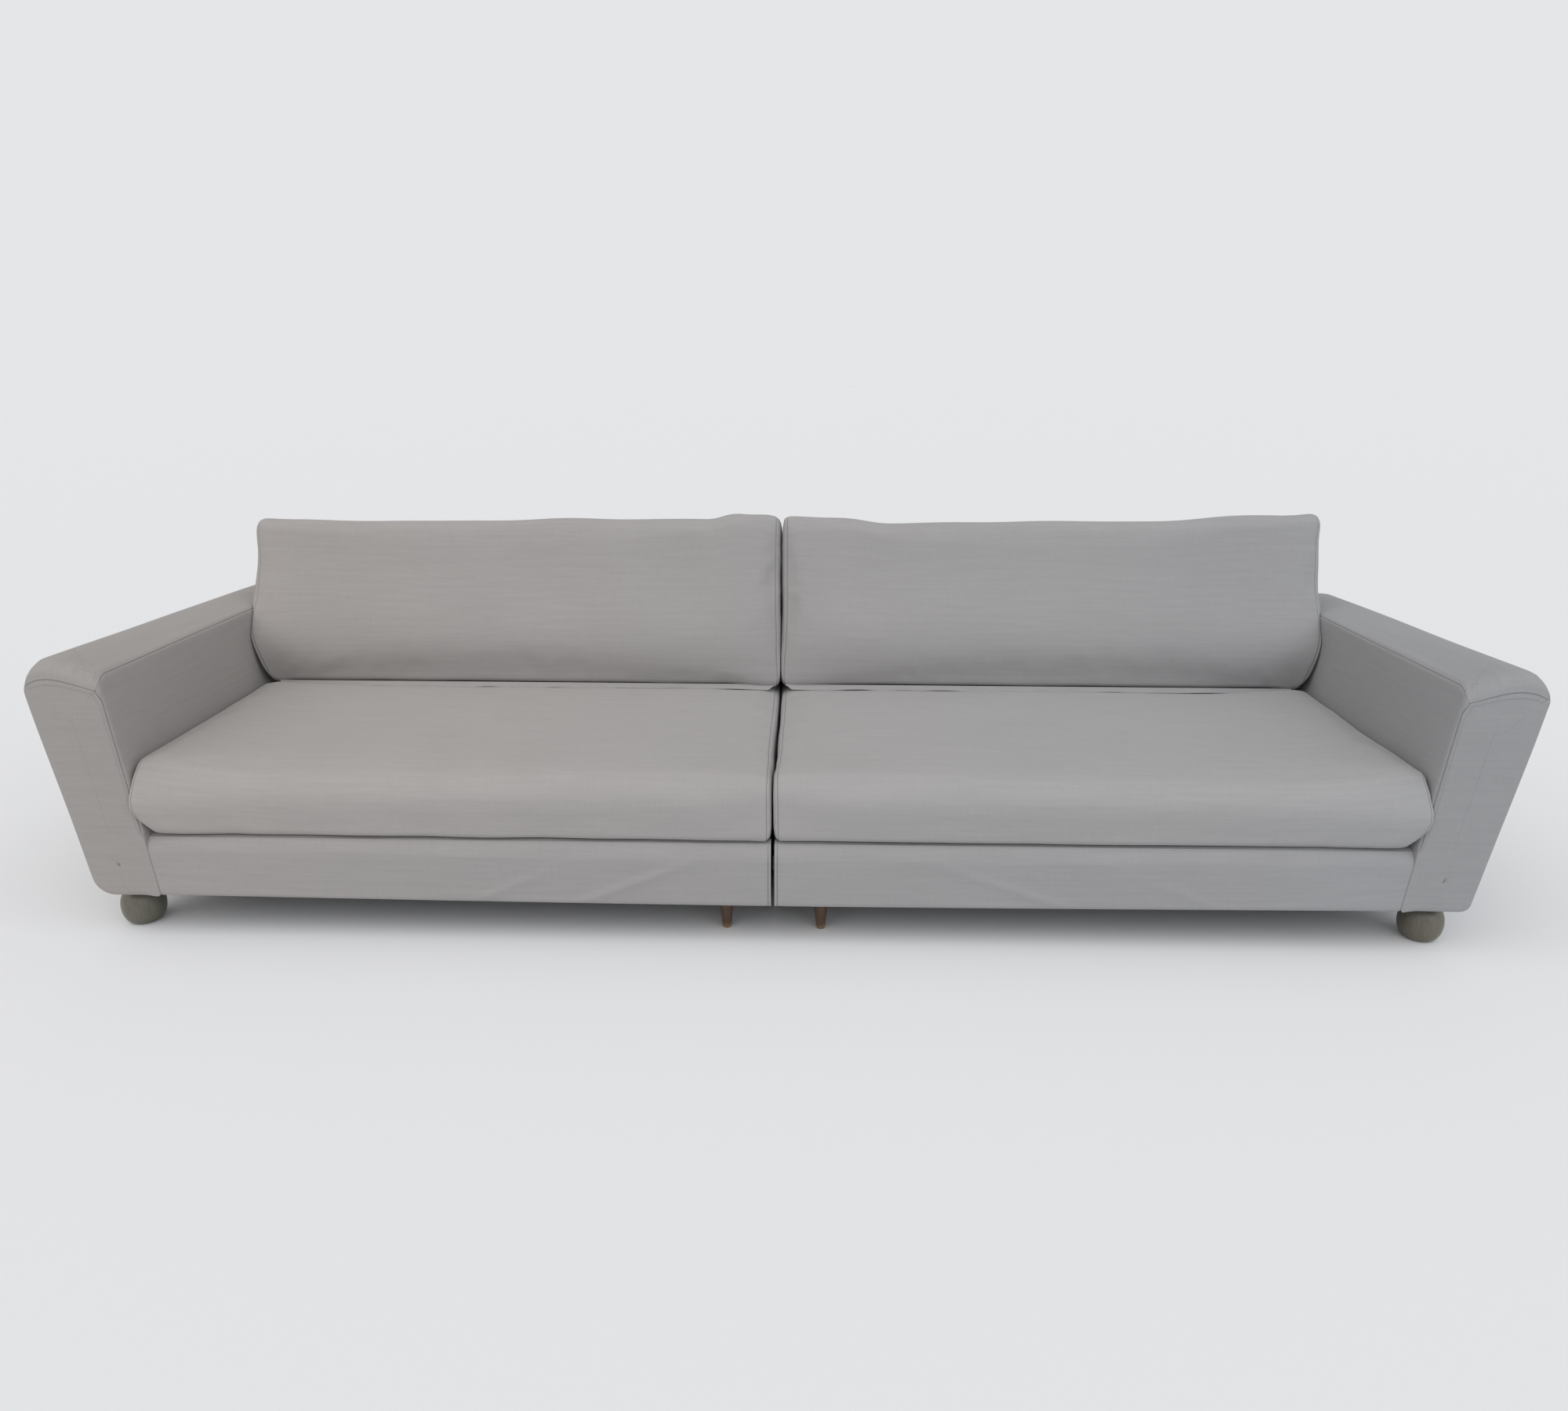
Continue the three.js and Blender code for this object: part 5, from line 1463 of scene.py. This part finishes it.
# %% Cloths of the inside
def make_felt(name, dark, light, fibre_scale):
    """Pressed fibres: two stretched noises crossing each other, and fine speckle."""
    material, tree = new_material(name)
    weft, warp = cloth_place(tree)
    one = stretched_noise(tree, weft, warp, fibre_scale, fibre_scale / 12, 4.0)
    other = stretched_noise(tree, weft, warp, fibre_scale / 12, fibre_scale, 4.0)
    fibres = calc(tree, "MULTIPLY_ADD", one, 0.5, calc(tree, "MULTIPLY", other, 0.5))
    finish_with(tree, Base_Color=mixed(tree, fibres, dark, light), Roughness=0.95,
                Normal=bumped(tree, fibres, 0.0004, 0.6), Specular_IOR_Level=0.2)
    return material


platform_cloth = make_felt("platform_felt", (0.17, 0.163, 0.15, 1), (0.31, 0.30, 0.27, 1), 900.0)
black_cloth = make_felt("black_nonwoven", (0.008, 0.008, 0.009, 1), (0.035, 0.035, 0.037, 1), 1200.0)
for seed, side in enumerate(("left", "right")):
    deck = dress("seat_deck_felt", deck_parts(71 + seed), side, side + "_half",
                 platform_cloth, ["seat_deck"], 40)
    dust = dress("dust_cover_cloth", dust_parts(75 + seed), side, side + "_half",
                 black_cloth, ["dust_cover"], 40)
    lining = dress("end_lining_cloth", lining_parts(79 + seed), side, side + "_half",
                   black_cloth, ["end_lining"], 40)
    print(side, "inner cloths:", len(deck.data.polygons), len(dust.data.polygons),
          len(lining.data.polygons), "triangles")

# %% Wood
wood_relief = 0.0002
ply_thickness = 0.0018
glue_line_share = 0.14


def make_wood(name, dark, light, ring_pitch, along, roughness=0.55, pores=0.35):
    """Rings round an axis: the distance from it, disturbed by noise, goes through a sine. along is
    the grain's axis, X, Y or Z, and the rings' centre lies under the board."""
    material, tree = new_material(name)
    place = object_place(tree)
    stretch = [7.0, 7.0, 7.0]
    stretch["XYZ".index(along)] = 0.6
    scaled = times(tree, place, stretch)
    drift = noise(tree, scaled, 1.0, Detail=3.0)
    axes = apart(tree, place)
    a, b = (axes[axis] for axis in range(3) if "XYZ"[axis] != along)
    a, b = calc(tree, "ADD", a, 0.031), calc(tree, "ADD", b, 0.047)
    radius = calc(tree, "SQRT", calc(tree, "MULTIPLY_ADD", a, a, calc(tree, "MULTIPLY", b, b)))
    radius = calc(tree, "MULTIPLY_ADD", drift, 0.03, radius)
    rings = calc(tree, "SINE", calc(tree, "MULTIPLY", radius, 2 * math.pi / ring_pitch))
    rings = calc(tree, "MULTIPLY_ADD", rings, 0.5, 0.5)
    fibre = noise(tree, times(tree, scaled, (90.0,) * 3), 1.0, Detail=3.0)
    tone = calc(tree, "MULTIPLY_ADD", rings, 0.45, calc(tree, "MULTIPLY", fibre, pores), clamp=True)
    finish_with(tree, Base_Color=mixed(tree, tone, light, dark), Roughness=roughness,
                Normal=bumped(tree, fibre, wood_relief, 0.5))
    return material


def make_plywood():
    """Plywood gables stand upright with their plies stacked along X: thin dark glue lines between
    lighter and darker layers, and a figured face."""
    material, tree = new_material("birch_plywood")
    place = object_place(tree)
    grain = noise(tree, times(tree, place, (40.0, 9.0, 1.3)), 3.0, Detail=5.0, Distortion=1.2)
    ply = calc(tree, "FRACT", calc(tree, "DIVIDE", apart(tree, place)[0], ply_thickness))
    tone = calc(tree, "MULTIPLY_ADD", calc(tree, "GREATER_THAN", ply, 1 - glue_line_share), 0.35,
                calc(tree, "MULTIPLY", grain, 0.8), clamp=True)
    colour = mixed(tree, tone, (0.60, 0.42, 0.22, 1), (0.33, 0.19, 0.085, 1))
    finish_with(tree, Base_Color=colour, Roughness=0.65, Normal=bumped(tree, grain, wood_relief, 0.5))
    return material


def make_foam():
    """Open foam: cells from a Voronoi pattern, yellowed in soft patches."""
    material, tree = new_material("seat_foam")
    place = object_place(tree)
    cells = wired(tree, "ShaderNodeTexVoronoi", {"Vector": place, "Scale": 700.0}).outputs["Distance"]
    colour = mixed(tree, noise(tree, place, 9.0), (0.70, 0.65, 0.49, 1), (0.80, 0.76, 0.62, 1))
    finish_with(tree, Base_Color=colour, Roughness=0.95, Normal=bumped(tree, cells, 0.0005, 0.8))
    return material


print("woods, plywood and foam ready")

# %% Metal
def make_metal(name, dark, light, roughness, spangle_scale):
    """Metal with tones that change from crystal to crystal, and fine wear."""
    material, tree = new_material(name)
    place = object_place(tree)
    spangle = wired(tree, "ShaderNodeTexVoronoi", {"Vector": place, "Scale": spangle_scale})
    wear = noise(tree, place, 160.0, Detail=4.0)
    tone = calc(tree, "MULTIPLY", apart(tree, spangle.outputs["Color"])[0], 0.5)
    tone = calc(tree, "MULTIPLY_ADD", wear, 0.5, tone)
    matt = calc(tree, "MULTIPLY_ADD", wear, 0.25, roughness)
    finish_with(tree, Base_Color=mixed(tree, tone, dark, light), Metallic=1.0, Roughness=matt,
                Normal=bumped(tree, wear, 0.0001, 0.3))
    return material


finishes = {
    "cover_fabric": linen,
    "black_cloth": black_cloth,
    "platform_cloth": platform_cloth,
    "foam": make_foam(),
    "frame_timber": make_wood("spruce_timber", (0.44, 0.26, 0.11, 1), (0.66, 0.46, 0.25, 1), 0.0045, "X"),
    "frame_plywood": make_plywood(),
    "spring_steel": make_metal("spring_wire", (0.13, 0.135, 0.14, 1), (0.27, 0.28, 0.29, 1), 0.32, 300.0),
    "connector_steel": make_metal("zinc_plate", (0.36, 0.37, 0.38, 1), (0.52, 0.53, 0.54, 1), 0.30, 260.0),
    "zip_metal": make_metal("antique_nickel", (0.17, 0.155, 0.135, 1), (0.36, 0.335, 0.30, 1), 0.35, 500.0),
}
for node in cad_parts.values():
    kind = node.data.materials[0].name
    if kind in finishes:
        node.data.materials[0] = finishes[kind]
print("finishes on", len(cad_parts), "nodes")

# %% [markdown]
# ## The feet
# The corner feet are turned buns, stained olive grey, and the pegs near the middle are tapered and
# dark brown with a paler tip where the stain was wiped off. Turning is what a lathe does, so each
# is a profile spun round its own axis: quarter ellipses for the bulb, and small round edges.

# %% Feet
foot_sides = 96
foot_arc_points = 18
bun_base, bun_widest, bun_waist, bun_collar, bun_neck = 0.030, 0.0475, 0.025, 0.032, 0.023
bun_widest_height, bun_waist_height, bun_collar_height = 0.042, 0.082, 0.013
bun_edge = 0.003
peg_tip, peg_top, peg_tip_height, peg_tip_bevel = 0.0105, 0.020, 0.006, 0.003


def arc(r0, z0, r1, z1, start, stop, steps=foot_arc_points):
    """A stretch of an ellipse from angle start to stop: r from r0 by (r1 - r0) * cos, z by sin."""
    angle = np.linspace(start, stop, steps)
    return np.stack([r0 + (r1 - r0) * np.cos(angle), z0 + (z1 - z0) * np.sin(angle)], -1)


def bun_profile(top):
    """The bulb is two quarter ellipses, then a waist, a round collar, and a neck inside the arm."""
    collar_top = floor_gap - clearance
    rim = bun_collar_height / 2
    return np.concatenate([
        [[0, 0]],
        arc(bun_base - bun_edge, bun_edge, bun_base, 0, 0, quarter, 5)[::-1],
        arc(bun_base, bun_widest_height, bun_widest, bun_edge, 0, quarter)[::-1],
        arc(bun_waist, bun_widest_height, bun_widest, bun_waist_height, 0, quarter)[1:],
        arc(bun_collar - rim, collar_top - rim, bun_collar, collar_top, -quarter, quarter),
        [[bun_neck, collar_top], [bun_neck, top], [0, top]],
    ])


def peg_profile(top):
    """A cone with a bevelled tip."""
    return np.array([[0, 0], [peg_tip - peg_tip_bevel, 0], [peg_tip - peg_tip_bevel / 3, 0.0012],
                     [peg_tip, peg_tip_height],
                     [peg_top, top], [0, top]])


def turned_part(profile, centre):
    """A profile of radius and height spun round an upright axis."""
    walk = np.concatenate([[0], np.cumsum(np.linalg.norm(np.diff(profile, axis=0), axis=1))])
    angle = np.arange(foot_sides) / foot_sides * 2 * np.pi
    points = np.stack([centre.x + profile[:, :1] * np.cos(angle), centre.y + profile[:, :1] * np.sin(angle),
                       spread(profile[:, 1:], (len(profile), foot_sides))], -1)
    return grid_part(points, walk, angle * bun_widest, True, 2 * np.pi * bun_widest)


print("feet have", foot_sides, "sides")

# %% Feet on the sofa
def make_stained_wood(name, dark, light, tip=None):
    """Stained, waxed wood: long upright fibres under a satin coat. tip gives a paler colour and the
    height up to which the stain has worn off."""
    material, tree = new_material(name)
    place = object_place(tree)
    fibre = noise(tree, times(tree, place, (220.0, 220.0, 14.0)), 1.0, Detail=4.0, Distortion=0.4)
    colour = mixed(tree, fibre, dark, light)
    if tip:
        ragged = calc(tree, "MULTIPLY_ADD", fibre, 0.012, apart(tree, place)[2])
        worn = calc(tree, "SUBTRACT", 1.0, calc(tree, "DIVIDE", ragged, tip[1]), clamp=True)
        colour = mixed(tree, worn, colour, tip[0])
    finish_with(tree, Base_Color=colour, Roughness=0.42, Normal=bumped(tree, fibre, wood_relief, 0.4),
                Coat_Weight=0.15, Coat_Roughness=0.3)
    return material


foot_finishes = {
    "outer": ("foot_wood", bun_profile, make_stained_wood(
        "olive_stain", (0.075, 0.070, 0.052, 1), (0.16, 0.15, 0.115, 1))),
    "inner": ("peg_wood", peg_profile, make_stained_wood(
        "brown_stain", (0.045, 0.022, 0.012, 1), (0.11, 0.06, 0.032, 1), ((0.32, 0.20, 0.11, 1), 0.022))),
}
for row, (slot, profile, material) in foot_finishes.items():
    for end in ("front", "rear"):
        for side in ("left", "right"):
            name = "foot_" + row + "_" + end
            low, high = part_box(name + "_right")
            parts = [turned_part(profile(high.z), (low + high) / 2)]
            foot = dress(name + "_turned", parts, side, side + "_half", material, [name], 35)
            print(foot.name, len(foot.data.polygons), "triangles")
